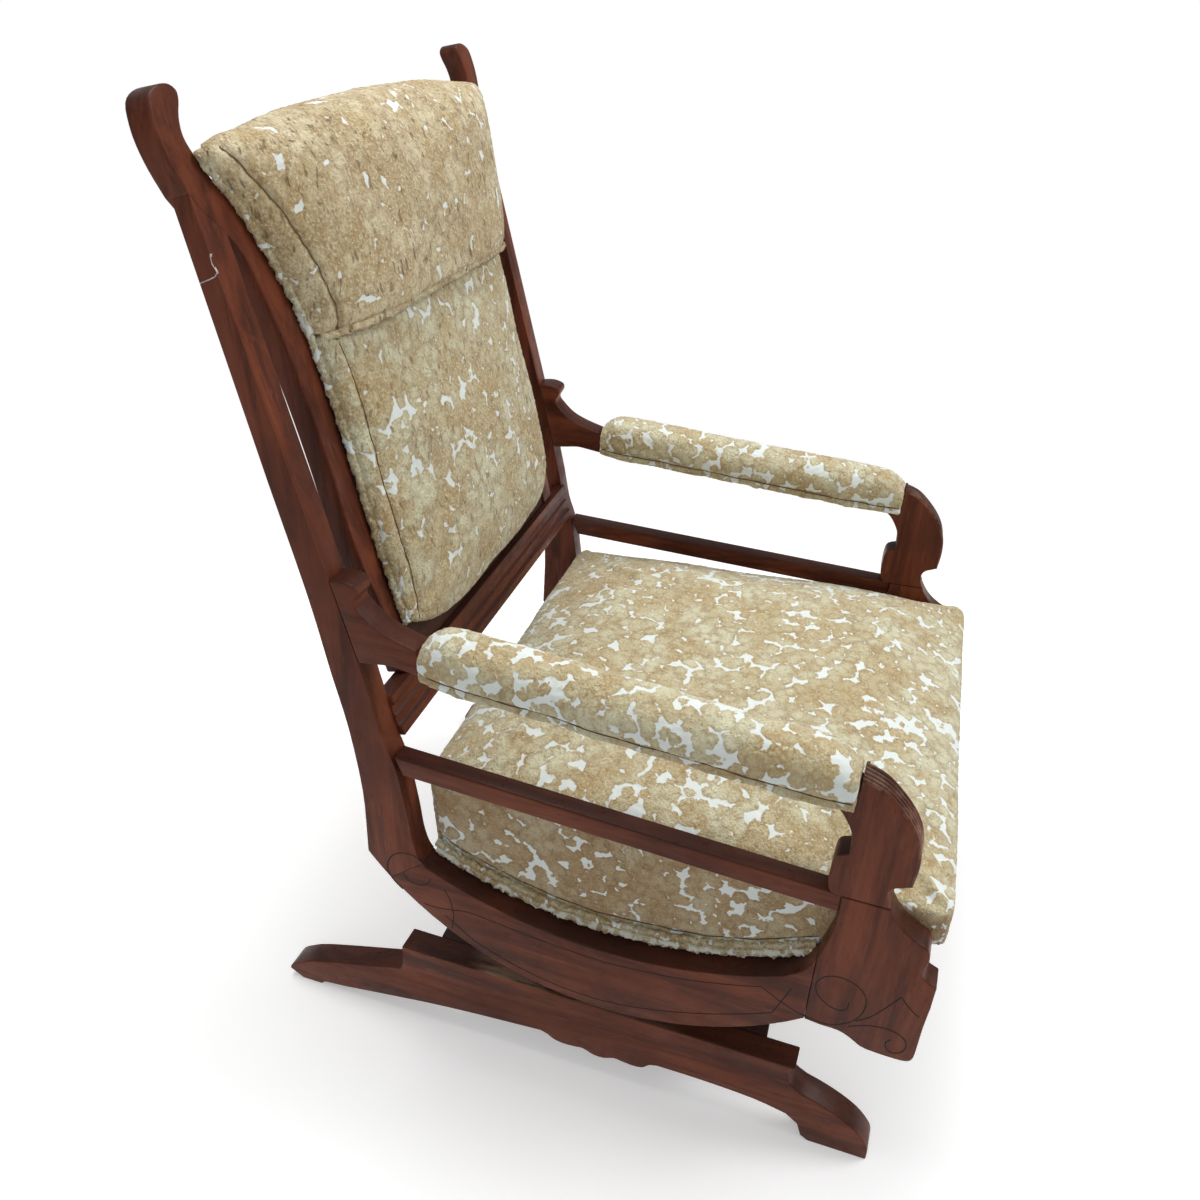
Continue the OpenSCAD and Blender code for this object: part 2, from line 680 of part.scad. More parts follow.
pad_back = 3;
module back_rail(v0, v1) {
  g = joint_gap;
  steps = 4;
  color(walnut_dark)
    back_plane(right)
      translate([0, 0, -stile_t])
        linear_extrude(height = stile_t - pad_back - soft_gap)
          polygon(concat(
            [for (i = [0 : steps]) let (v = v0 + (v1 - v0) * i / steps) [back_half(v) - g, v]],
            [for (i = [steps : -1 : 0]) let (v = v0 + (v1 - v0) * i / steps) [g - back_half(v), v]]
          ));
}
top_rail_shares = [0.80, 0.872];
bottom_rail_shares = [0.082, 0.165];
module back_top_rail() back_rail(top_rail_shares[0] * back_l, top_rail_shares[1] * back_l);
module back_bottom_rail() back_rail(bottom_rail_shares[0] * back_l, bottom_rail_shares[1] * back_l);

module moulded_back_rail() {
  bead = moulded_rail_h / 10;
  h = moulded_rail_h;
  d = moulded_rail_d;
  f = d / 5;
  color(walnut)
    intersection() {
      back_plane(right)
        translate([-frame_w / 2, 0, 0])
          rotate([0, 90, 0])
            linear_extrude(height = frame_w)
              polygon([
                [d - f, 0], [d - f, h], [-f, h], [-f, h - 2 * bead], [0, h - 2.6 * bead],
                [0, h - 4.4 * bead], [-f * 0.6, h - 5 * bead], [0, h - 5.6 * bead],
                [0, h - 7.4 * bead], [-f, h - 8 * bead], [-f, 0]
              ]);
      across(
        back_foot_y - 2 * d, back_foot_y + 3 * d, back_foot_z - 2 * h, back_foot_z + 2 * h, side_t + joint_gap
      );
    }
}

outside_t = 3;
outside_lap = 10;
module outside_back() {
  v0 = bottom_rail_shares[0] * back_l;
  v1 = top_rail_shares[1] * back_l;
  steps = 16;
  color(velvet)
    back_plane(right)
      translate([0, 0, -stile_t - joint_gap - outside_t])
        linear_extrude(height = outside_t)
          polygon(concat(
            [for (i = [0 : steps]) let (v = v0 + (v1 - v0) * i / steps) [back_half(v) + outside_lap, v]],
            [for (i = [steps : -1 : 0]) let (v = v0 + (v1 - v0) * i / steps) [-back_half(v) - outside_lap, v]]
          ));
}

// Soft panel: a grid of columns s = -1..1 and rows t = 0..1 with a front and a flat back
function bulge(s, t, p) = pow(1 - pow(abs(s), p), 0.5) * pow(1 - pow(abs(2 * t - 1), p), 0.5);
module pillow(front, back) {
  m = len(front);
  n = len(front[0]);
  k = m * n;
  points = concat(flat_points(front), flat_points(back));
  faces_front = [
    for (j = [0 : m - 2]) for (i = [0 : n - 2])
      let (a = j * n + i, b = a + 1, c = a + n, d = c + 1)
        for (f = [[a, c, d], [a, d, b]]) f
  ];
  faces_back = [for (f = faces_front) [f[0] + k, f[2] + k, f[1] + k]];
  rim = concat(
    [for (i = [0 : n - 1]) i], [for (j = [1 : m - 1]) j * n + n - 1],
    [for (i = [n - 2 : -1 : 0]) (m - 1) * n + i], [for (j = [m - 2 : -1 : 1]) j * n]
  );
  q = len(rim);
  faces_rim = [
    for (i = [0 : q - 1])
      let (a = rim[i], b = rim[(i + 1) % q])
        for (f = [[a, b, b + k], [a, b + k, a + k]]) f
  ];
  polyhedron(points = points, faces = concat(faces_front, faces_back, faces_rim));
}

seam_share = 0.652;
pad_low_share = 0.112;
pad_high_share = 0.927;
pad_crown_share = 0.03;
seam_gap = 0.6;
pad_edge = 12;
cols = 16;
rows_low = 18;
rows_high = 12;
low_corner = 0.05;
function panel(v_low, v_high, crown, depth, m, p, tuck) = [
  for (j = [0 : m])
    [
      for (i = [0 : cols])
        let (s = 2 * i / cols - 1, t = j / m,
          lo = v_low + tuck * back_l * pow(abs(s), 5), hi = v_high + crown * (1 - s * s),
          v = lo + (hi - lo) * t, e = 1 - abs(2 * t - 1),
          x = s * (back_half(v) - soft_gap - joint_gap))
        [x, v, depth < 0 ? -pad_back : pad_edge + (depth - pad_edge) * bulge(s, t, p)]
    ]
];
module back_pad() {
  v0 = pad_low_share * back_l;
  v1 = seam_share * back_l - seam_gap;
  color(velvet)
    back_plane(right)
      pillow(
        panel(v0, v1, 0, back_pad_t, rows_low, 4, low_corner), panel(v0, v1, 0, -1, rows_low, 4, low_corner)
      );
}
module headrest_pad() {
  v0 = seam_share * back_l;
  v1 = pad_high_share * back_l;
  crown = pad_crown_share * back_l;
  color(velvet)
    back_plane(right)
      pillow(panel(v0, v1, crown, headrest_t, rows_high, 3, 0), panel(v0, v1, crown, -1, rows_high, 3, 0));
}

// Seat: an upholstered, sprung frame between the side frames
seat_front_share = -0.6375;
seat_rear_share = 0.258;
seat_front_y = seat_front_share * side_d;
seat_rear_y = seat_rear_share * side_d;
seat_drop = 30;
seat_front_z = seat_seam_z - seat_edge_h;
function seat_bottom(y) = min(seat_front_z, runner_top(y) - seat_drop);
seat_steps = 36;
seat_cushion_drop = 34;
seat_top_z = seat_seam_z - seat_cushion_drop;
skirt_in = side_t + soft_gap;
rail_in = skirt_in + skirt_t + joint_gap;
cushion_in = skirt_in + skirt_t + soft_gap;
rail_y0 = seat_front_y + skirt_t + joint_gap;
rail_y1 = seat_rear_y - skirt_t - joint_gap;
function seat_line(y0, y1) = [
  for (i = [0 : seat_steps])
    let (y = y0 + (y1 - y0) * i / seat_steps) [y, seat_bottom(y)]
];
// The side rails turn with the splay, so their undersides slip back by this much across them
splay_slips = [rail_in * sin(splay), (rail_in + seat_rail_t) * sin(splay)];
function seat_under(y) = min([for (d = splay_slips) seat_bottom(y + d)]);
function under_line(y0, y1, steps) = [
  for (i = [0 : steps])
    let (y = y0 + (y1 - y0) * i / steps) [y, seat_under(y)]
];

skirt_y0 = seat_front_y + skirt_t / 2;
skirt_y1 = seat_rear_y - skirt_t / 2;
module seat_skirt() {
  color(velvet)
    difference() {
      union() {
        for (s = [right, left])
          side(s)
            board(skirt_in, skirt_t)
              polygon(concat(
                seat_line(skirt_y0, skirt_y1), [[skirt_y1, seat_seam_z], [skirt_y0, seat_seam_z]]
              ));
        across(
          seat_front_y, seat_front_y + skirt_t, seat_bottom(seat_front_y), seat_seam_z, skirt_in + skirt_t / 4
        );
        across(
          seat_rear_y - skirt_t, seat_rear_y, seat_bottom(seat_rear_y), seat_seam_z, skirt_in + skirt_t / 4
        );
      }
      for (s = [right, left])
        side(s)
          seat_screw_places()
            screw_hole(rail_in + seat_rail_t);
    }
}
module screw_hole(x1) {
  translate([-over, 0, 0])
    rotate([0, 90, 0])
      cylinder(h = x1 + 2 * over, r = screw_r + screw_gap, $fn = 32);
}
module seat_screw_places() {
  for (y = [roll_y - 0.3 * side_d, roll_y + 0.22 * side_d])
    translate([0, y, runner_top(y) - seat_drop / 2])
      children();
}

module seat_side_rail(s) {
  y0 = (rail_y0 + seat_rail_t + joint_gap + splay_slips[1]) / cos(splay);
  y1 = (rail_y1 - seat_rail_t - joint_gap + splay_slips[0]) / cos(splay);
  line = seat_line(y0, y1);
  color(walnut_dark)
    side(s)
      difference() {
        board(rail_in, seat_rail_t)
          polygon(concat(
            line, reversed([for (p = line) [p[0], min(seat_top_z - soft_gap, p[1] + seat_rail_h)]])
          ));
        seat_screw_places()
          screw_hole(rail_in + seat_rail_t);
      }
}
module seat_front_rail() {
  color(walnut_dark)
    across(rail_y0, rail_y0 + seat_rail_t, seat_bottom(rail_y0), seat_top_z - soft_gap, rail_in);
}
module seat_rear_rail() {
  color(walnut_dark)
    across(rail_y1 - seat_rail_t, rail_y1, seat_bottom(rail_y1), seat_top_z - soft_gap, rail_in);
}

// Webbing, nailed under the rails
web_t = 2;
web_shares = [-0.45, -0.27, -0.09, 0.09];
web_x_share = 0.186;
web_lap = 2;
web_xs = [for (k = [-1, 0, 1]) k * web_x_share * frame_w];
web_steps = 4;
module hung_strap(y0, y1, width, drop, t, steps = seat_steps) {
  line = under_line(y0, y1, steps);
  translate([0, centre_shift, 0])
    rotate([90, 0, 90])
      linear_extrude(height = width, center = true)
        polygon(concat(
          [for (p = line) p + [0, -drop - t]], reversed([for (p = line) p + [0, -drop]])
        ));
}
module seat_webbing() {
  color(webbing_tan)
    union() {
      for (share = web_shares)
        let (y = share * side_d)
          intersection() {
            hung_strap(y, y + web_w, frame_w, joint_gap, web_t, web_steps);
            across(y - over, y + web_w + over, 0, seat_seam_z, rail_in + web_lap);
          }
      for (x = web_xs)
        translate([x, 0, 0])
          hung_strap(rail_y0 + seat_rail_t / 2, rail_y1 - seat_rail_t / 2, web_w, joint_gap, web_t);
    }
}

// Seat springs, waisted, from the webbing to the underside of the cushion
spring_wire = 4;
spring_r = 27;
spring_waist_r = 19;
spring_turns = 5;
spring_lift = 4;
spring_shares = [-0.33, -0.03];
function spring_foot_z(y) = max(seat_bottom(y - spring_r), seat_bottom(y + spring_r)) + spring_lift;
module seat_springs() {
  color(steel)
    for (share = spring_shares, x = web_xs)
      let (y = share * side_d)
        translate([x, y + centre_shift, 0])
          wound_coil(
            spring_waist_r, spring_r, spring_foot_z(y), seat_top_z - soft_gap, spring_turns, spring_wire
          );
}
echo(least_gaps_between_seat_spring_turns = [
  for (share = spring_shares)
    let (z0 = spring_foot_z(share * side_d), z1 = seat_top_z - soft_gap)
      turn_gap(coil_rings(spring_waist_r, spring_r, z0, z1, spring_turns, spring_wire))
]);

seat_rows = 20;
seat_cols = 20;
function seat_grid(z, crown, p) = [
  for (j = [0 : seat_rows])
    [
      for (i = [0 : seat_cols])
        let (s = 2 * i / seat_cols - 1, t = j / seat_rows,
          y = rail_y0 + soft_gap + (rail_y1 - rail_y0 - 2 * soft_gap) * t)
        [s * half_in(y, cushion_in), y + centre_shift, z + crown * bulge(s, t, p)]
    ]
];
module seat_cushion() {
  color(velvet)
    pillow(seat_grid(seat_seam_z, seat_crown, 4), seat_grid(seat_top_z, 0, 4));
}

dust_t = 1.5;
dust_in = 6;
module dust_cover() {
  color(cambric)
    intersection() {
      hung_strap(rail_y0, rail_y1, frame_w, web_t + 3 * joint_gap, dust_t);
      across(rail_y0 - over, rail_y1 + over, 0, seat_seam_z, side_t + dust_in);
    }
}

module chair_screws() {
  color(steel)
    for (s = [right, left])
      side(s) {
        for (k = [-1, 1])
          screw_in_side(
            side_t + joint_gap + bracket_t + screw_gap, roll_y + k * (bracket_l / 2 - screw_inset),
            bracket_screw_z(upper_shelf_z, 1), screw_l
          );
        seat_screw_places()
          screw_in_side(rail_in + seat_rail_t + screw_gap, 0, 0, rail_in + seat_rail_t - side_t / 3);
      }
}

platform_beam(right);  // platform_beam_right
platform_beam(left);  // platform_beam_left
platform_front_board();
platform_rear_board();
lower_spring_bracket(right);  // lower_spring_bracket_right
lower_spring_bracket(left);  // lower_spring_bracket_left
platform_screws();
coil_springs(right);  // coil_springs_right
coil_springs(left);  // coil_springs_left
runner(right);  // runner_right
runner(left);  // runner_left
rear_post(right);  // rear_post_right
rear_post(left);  // rear_post_left
front_post(right);  // front_post_right
front_post(left);  // front_post_left
arm_scroll(right);  // arm_scroll_right
arm_scroll(left);  // arm_scroll_left
arm(right);  // arm_right
arm(left);  // arm_left
side_rail(right);  // side_rail_right
side_rail(left);  // side_rail_left
arm_pad(right);  // arm_pad_right
arm_pad(left);  // arm_pad_left
back_stile(right);  // back_stile_right
back_stile(left);  // back_stile_left
back_top_rail();
back_bottom_rail();
moulded_back_rail();
outside_back();
back_pad();
headrest_pad();
seat_front_rail();
seat_rear_rail();
seat_side_rail(right);  // seat_side_rail_right
seat_side_rail(left);  // seat_side_rail_left
seat_webbing();
seat_springs();
seat_cushion();
seat_skirt();
dust_cover();
upper_spring_bracket(right);  // upper_spring_bracket_right
upper_spring_bracket(left);  // upper_spring_bracket_left
chair_screws();
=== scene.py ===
import logging
import math
from collections.abc import Callable, Sequence
from dataclasses import dataclass, field
from enum import Enum

import bmesh
import bpy
import numpy as np
from bpy.types import Material, Mesh, Modifier, Node, NodeSocket, Object
from mathutils import Matrix, Vector, noise
from mathutils.bvhtree import BVHTree
from mathutils.geometry import tessellate_polygon


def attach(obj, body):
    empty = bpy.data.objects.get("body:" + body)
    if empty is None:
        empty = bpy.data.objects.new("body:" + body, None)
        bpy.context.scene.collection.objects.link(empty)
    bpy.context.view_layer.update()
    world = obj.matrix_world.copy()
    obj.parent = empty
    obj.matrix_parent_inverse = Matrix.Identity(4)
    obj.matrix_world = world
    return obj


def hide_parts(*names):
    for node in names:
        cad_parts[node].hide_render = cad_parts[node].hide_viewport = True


"""Looks of the platform rocker: walnut frame, cut velvet upholstery, springs and platform.

Lengths are in metres in the chair's own frame: +Z up, the sitter faces -Y, and the origin is
on the floor. A side's own plane has x inwards from its outer face, y to the rear and z up.
"""

log = logging.getLogger("platform_rocker")

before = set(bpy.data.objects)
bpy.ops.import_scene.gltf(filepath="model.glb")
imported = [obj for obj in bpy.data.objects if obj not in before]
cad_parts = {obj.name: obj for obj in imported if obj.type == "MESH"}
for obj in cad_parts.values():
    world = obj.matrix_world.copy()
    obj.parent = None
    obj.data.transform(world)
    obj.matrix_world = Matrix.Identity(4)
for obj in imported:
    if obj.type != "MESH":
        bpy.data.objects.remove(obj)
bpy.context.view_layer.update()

# Turn of each side frame out of square, wider at the front
SPLAY = math.radians(2.9)
# How far a side frame's own origin lies behind the chair's
SHIFT = 0.0138
# Half of the width over the side frames level with their own origin, and their boards' thickness
HALF_W = 0.315
SIDE_T = 0.028
# A side frame's depth, and the height of its arms above the runners' rolling edge
SIDE_D = 0.640
ARM_H = 0.454
# Height of the rolling edge, and where it touches the platform
BASE_Z = 0.1265
ROLL_Y = -0.0813 * SIDE_D
# Height of the runners' upper edge at its lowest, and its radius
RUNNER_TOP_Z = BASE_Z + 0.0985
RUNNER_TOP_R = 0.465
# The back's front face: its lean, its foot and its length along the lean
LEAN = math.radians(13.5)
BACK_Y = 0.302 * SIDE_D
BACK_Z = BASE_Z + 0.6905 * ARM_H
BACK_L = 0.631
# Edges sharper than these, in degrees, stay crisp
CLOTH_EDGE, WIRE_EDGE, CARVED_EDGE, BOARD_EDGE = 80.0, 60.0, 50.0, 40.0
# How fine the roughness of a pile is on stuffed cloth, in bumps per metre
NAP_SCALE = 230
# A painted side shade that changes nothing
NO_SIDE_SHADE = (1.0, 1.0, 1.0)


class Side(Enum):
    """The sitter's right (-X) and left (+X)."""

    RIGHT = -1
    LEFT = 1

    @property
    def word(self) -> str:
        """The side's name as the nodes have it."""
        return self.name.lower()


class Grain(Enum):
    """The way a board's grain runs: an axis of the chair."""

    ACROSS = "x"
    ALONG = "y"
    UPRIGHT = "z"


def side_point(side: Side, x: float, y: float, z: float) -> Vector:
    """Turns a place in a side's own plane into the chair's frame.

    Args:
        side: which side frame.
        x: depth inwards from the outer face.
        y: place towards the rear.
        z: height.

    Returns:
        The point in the chair's frame.
    """
    c, s = math.cos(SPLAY), math.sin(SPLAY)
    px = -HALF_W + x * c + y * s
    return Vector((px if side is Side.RIGHT else -px, -x * s + y * c + SHIFT, z))


def half_in(y: float, depth: float) -> float:
    """Half of the clear width between the side frames, depth in from their outer faces, at y."""
    return HALF_W - math.tan(SPLAY) * (y - SHIFT) - depth / math.cos(SPLAY)


def back_point(x: float, v: float, w: float) -> Vector:
    """A place in the back: x sideways, v up along its lean, w forward of the stiles' front."""
    c, s = math.cos(LEAN), math.sin(LEAN)
    return Vector((x, BACK_Y + SHIFT + v * s - w * c, BACK_Z + v * c + w * s))


def runner_top(y: float) -> float:
    """Height of the runner's upper edge at y of the side plane."""
    d = y - ROLL_Y
    return RUNNER_TOP_Z + RUNNER_TOP_R - math.sqrt(max(RUNNER_TOP_R**2 - d * d, 1e-6))


def smooth_path(points: Sequence[Sequence[float]], steps: int = 8) -> list[Vector]:
    """A smooth curve through points.

    Args:
        points: the places it passes.
        steps: short lengths between two places.

    Returns:
        The curve's points, first and last place included.
    """
    p = [Vector(q) for q in points]
    out: list[Vector] = []
    for i in range(len(p) - 1):
        a, b = p[max(i - 1, 0)], p[i]
        c, d = p[i + 1], p[min(i + 2, len(p) - 1)]
        for k in range(steps):
            t = k / steps
            out.append(
                0.5 * (2 * b + (c - a) * t + (2 * a - 5 * b + 4 * c - d) * t * t
                       + (3 * b - a - 3 * c + d) * t**3)
            )
    out.append(p[-1])
    return out


# Finishes


class NodeBook:
    """A material's node tree, with short ways to add and join nodes."""

    def __init__(self, name: str) -> None:
        """Starts an empty material with a Principled shader.

        Args:
            name: the material's name.
        """
        self.mat = bpy.data.materials.new(name)
        self.mat.use_nodes = True
        self.tree = self.mat.node_tree
        self.tree.nodes.clear()
        self.out = self.tree.nodes.new("ShaderNodeOutputMaterial")
        self.shader = self.tree.nodes.new("ShaderNodeBsdfPrincipled")
        self.join(self.shader.outputs[0], self.out.inputs[0])

    def join(self, a: NodeSocket, b: NodeSocket) -> None:
        """Links output a to input b."""
        self.tree.links.new(a, b)

    def add(self, kind: str, **props: object) -> Node:
        """Adds a node of a kind and sets its properties.

        Args:
            kind: the node's type name.
            props: attribute names and values.

        Returns:
            The node.
        """
        node = self.tree.nodes.new(kind)
        for key, value in props.items():
            setattr(node, key, value)
        return node

    def place(self, scale: Sequence[float], turn: Sequence[float] = (0, 0, 0)) -> NodeSocket:
        """Object coordinates, stretched by scale and turned.

        Args:
            scale: factor along each axis.
            turn: rotation in radians.

        Returns:
            The vector output.
        """
        co = self.add("ShaderNodeTexCoord")
        m = self.add("ShaderNodeMapping")
        m.inputs["Scale"].default_value = scale
        m.inputs["Rotation"].default_value = turn
        self.join(co.outputs["Object"], m.inputs["Vector"])
        return m.outputs[0]

    def noise(self, vec: NodeSocket, scale: float, detail: float = 4, rough: float = 0.55,
              distort: float = 0.0) -> NodeSocket:
        """Noise from 0 to 1 over a vector.

        Args:
            vec: where it reads.
            scale: how fine it is, per metre.
            detail: octaves.
            rough: strength of the finer octaves.
            distort: how far it warps itself.

        Returns:
            The factor output.
        """
        n = self.add("ShaderNodeTexNoise")
        n.inputs["Scale"].default_value = scale
        n.inputs["Detail"].default_value = detail
        n.inputs["Roughness"].default_value = rough
        n.inputs["Distortion"].default_value = distort
        self.join(vec, n.inputs["Vector"])
        return n.outputs["Fac"]

    def math(self, op: str, a: NodeSocket | float,
             b: NodeSocket | float = 0.0) -> NodeSocket:
        """One sum on two sockets or numbers.

        Args:
            op: the operation's name.
            a: first value.
            b: second value.

        Returns:
            The result.
        """
        n = self.add("ShaderNodeMath", operation=op)
        for value, slot in ((a, n.inputs[0]), (b, n.inputs[1])):
            if isinstance(value, (int, float)):
                slot.default_value = value
            else:
                self.join(value, slot)
        return n.outputs[0]

    def span(self, value: NodeSocket, low: NodeSocket | float,
             high: NodeSocket | float, to_low: float = 0.0, to_high: float = 1.0) -> NodeSocket:
        """Maps low..high smoothly to to_low..to_high.

        Args:
            value: the input.
            low: its lower end.
            high: its upper end.
            to_low: what the lower end becomes.
            to_high: what the upper end becomes.

        Returns:
            The mapped value.
        """
        n = self.add("ShaderNodeMapRange", interpolation_type="SMOOTHSTEP")
        self.join(value, n.inputs["Value"])
        for slot, v in (("From Min", low), ("From Max", high), ("To Min", to_low), ("To Max", to_high)):
            if isinstance(v, (int, float)):
                n.inputs[slot].default_value = v
            else:
                self.join(v, n.inputs[slot])
        return n.outputs[0]

    def blend(self, fac: NodeSocket | float, a: object, b: object,
              mode: str = "MIX") -> NodeSocket:
        """Mixes two colours.

        Args:
            fac: share of b.
            a: colour or socket.
            b: colour or socket.
            mode: how they blend.

        Returns:
            The colour.
        """
        n = self.add("ShaderNodeMix", data_type="RGBA", blend_type=mode)
        if isinstance(fac, (int, float)):
            n.inputs[0].default_value = fac
        else:
            self.join(fac, n.inputs[0])
        for value, slot in ((a, n.inputs[6]), (b, n.inputs[7])):
            if isinstance(value, tuple):
                slot.default_value = (*value, 1.0)
            else:
                self.join(value, slot)
        return n.outputs[2]

    def bump(self, height: NodeSocket, strength: float, distance: float,
             under: NodeSocket | None = None) -> NodeSocket:
        """A bump normal from a height.

        Args:
            height: the height.
            strength: 0 to 1.
            distance: metres for a height of 1.
            under: a bump that it lies on.

        Returns:
            The normal.
        """
        n = self.add("ShaderNodeBump")
        n.inputs["Strength"].default_value = strength
        n.inputs["Distance"].default_value = distance
        self.join(height, n.inputs["Height"])
        if under is not None:
            self.join(under, n.inputs["Normal"])
        return n.outputs[0]

    def attribute(self, name: str) -> NodeSocket:
        """The mesh's own attribute of that name, as a number."""
        n = self.add("ShaderNodeAttribute", attribute_name=name)
        return n.outputs["Fac"]

    def set(self, **values: object) -> None:
        """Sets constants on the shader's own sockets; _ stands for a space."""
        for key, value in values.items():
            self.shader.inputs[key.replace("_", " ")].default_value = value


@dataclass(frozen=True)
class WalnutFinish:
    """Old varnished walnut with soft grain, dark pores and rubbed edges.

    The faces that look up are darkened, partly as painted shade and partly for the darker finish and dirt on
    them; track bares the wood where the runners roll.
    """

    name: str
    grain: Grain
    base: tuple[float, float, float] = (0.176, 0.046, 0.021)
    dark: tuple[float, float, float] = (0.062, 0.016, 0.008)
    light: tuple[float, float, float] = (0.225, 0.074, 0.034)
    rubbed: tuple[float, float, float] = (0.36, 0.20, 0.13)
    gloss: float = 0.38
    # How far the faces that look up are darkened: painted shade, with some darker finish and dirt
    top_shade_and_grime: float = 0.62
    track: bool = False

    def make(self) -> Material:
        """Builds the material.

        Returns:
            The material.
        """
        b = NodeBook(self.name)
        stretch = {"x": (0.10, 1, 1), "y": (1, 0.10, 1), "z": (1, 1, 0.10)}[self.grain.value]
        tilt = (math.radians(4), math.radians(2), math.radians(3))
        vec = b.place(stretch, tilt)
        plain = b.place((1, 1, 1))
        figure = b.noise(vec, 34, 6, 0.6, 0.8)
        fine = b.noise(vec, 210, 5, 0.65, 0.2)
        cloud = b.noise(plain, 6.5, 3, 0.5, 0.4)
        colour = b.blend(b.span(figure, 0.34, 0.66), self.dark, self.base)
        colour = b.blend(b.span(fine, 0.50, 0.78, 0, 0.55), colour, self.light)
        colour = b.blend(b.span(cloud, 0.42, 0.70, 0, 0.55), colour, self.dark)
        pores = b.span(b.noise(vec, 620, 2, 0.5), 0.62, 0.74, 0, 0.5)
        colour = b.blend(pores, colour, (0.020, 0.008, 0.006))
        wear = b.attribute("edge_wear")
        chips = b.span(b.noise(plain, 46, 5, 0.7), 0.46, 0.62)
        colour = b.blend(b.math("MULTIPLY", b.math("MULTIPLY", wear, chips), 0.75), colour, self.rubbed)
        scuff = b.span(b.noise(plain, 21, 8, 0.75, 1.2), 0.66, 0.74, 0, 0.35)
        colour = b.blend(scuff, colour, self.light)
        # Painted shade, with some darker finish and dirt: faces that look up are darkened and made glossier
        up = b.add("ShaderNodeSeparateXYZ")
        b.join(b.add("ShaderNodeTexCoord").outputs["Normal"], up.inputs[0])
        top_shade_and_grime = b.span(up.outputs["Z"], 0.30, 0.75, 0.0, self.top_shade_and_grime)
        colour = b.blend(top_shade_and_grime, colour, (0.026, 0.012, 0.010))
        rough = b.span(b.noise(plain, 60, 4, 0.6), 0.3, 0.7, self.gloss - 0.05, self.gloss + 0.14)
        rough = b.math("SUBTRACT", rough, b.math("MULTIPLY", top_shade_and_grime, 0.12))
        if self.track:
            xyz = b.add("ShaderNodeSeparateXYZ")
            b.join(plain, xyz.inputs[0])
            top = b.span(xyz.outputs["Z"], 0.1240, 0.1255)
            near = b.span(b.math("ABSOLUTE", b.math("ADD", xyz.outputs["Y"], 0.006)), 0.148, 0.106)
            ragged = b.span(b.noise(vec, 60, 6, 0.7), 0.40, 0.56)
            bare = b.math("MULTIPLY", b.math("MULTIPLY", top, near), ragged)
            colour = b.blend(bare, colour, (0.27, 0.175, 0.12))
            rough = b.math("MAXIMUM", rough, b.math("MULTIPLY", bare, 0.75))
        b.join(colour, b.shader.inputs["Base Color"])
        b.join(rough, b.shader.inputs["Roughness"])
        first = b.bump(fine, 0.18, 0.0006)
        b.join(b.bump(figure, 0.10, 0.0012, first), b.shader.inputs["Normal"])
        b.set(Coat_Weight=0.03, Coat_Roughness=0.15, Specular_IOR_Level=0.13)
        return b.mat


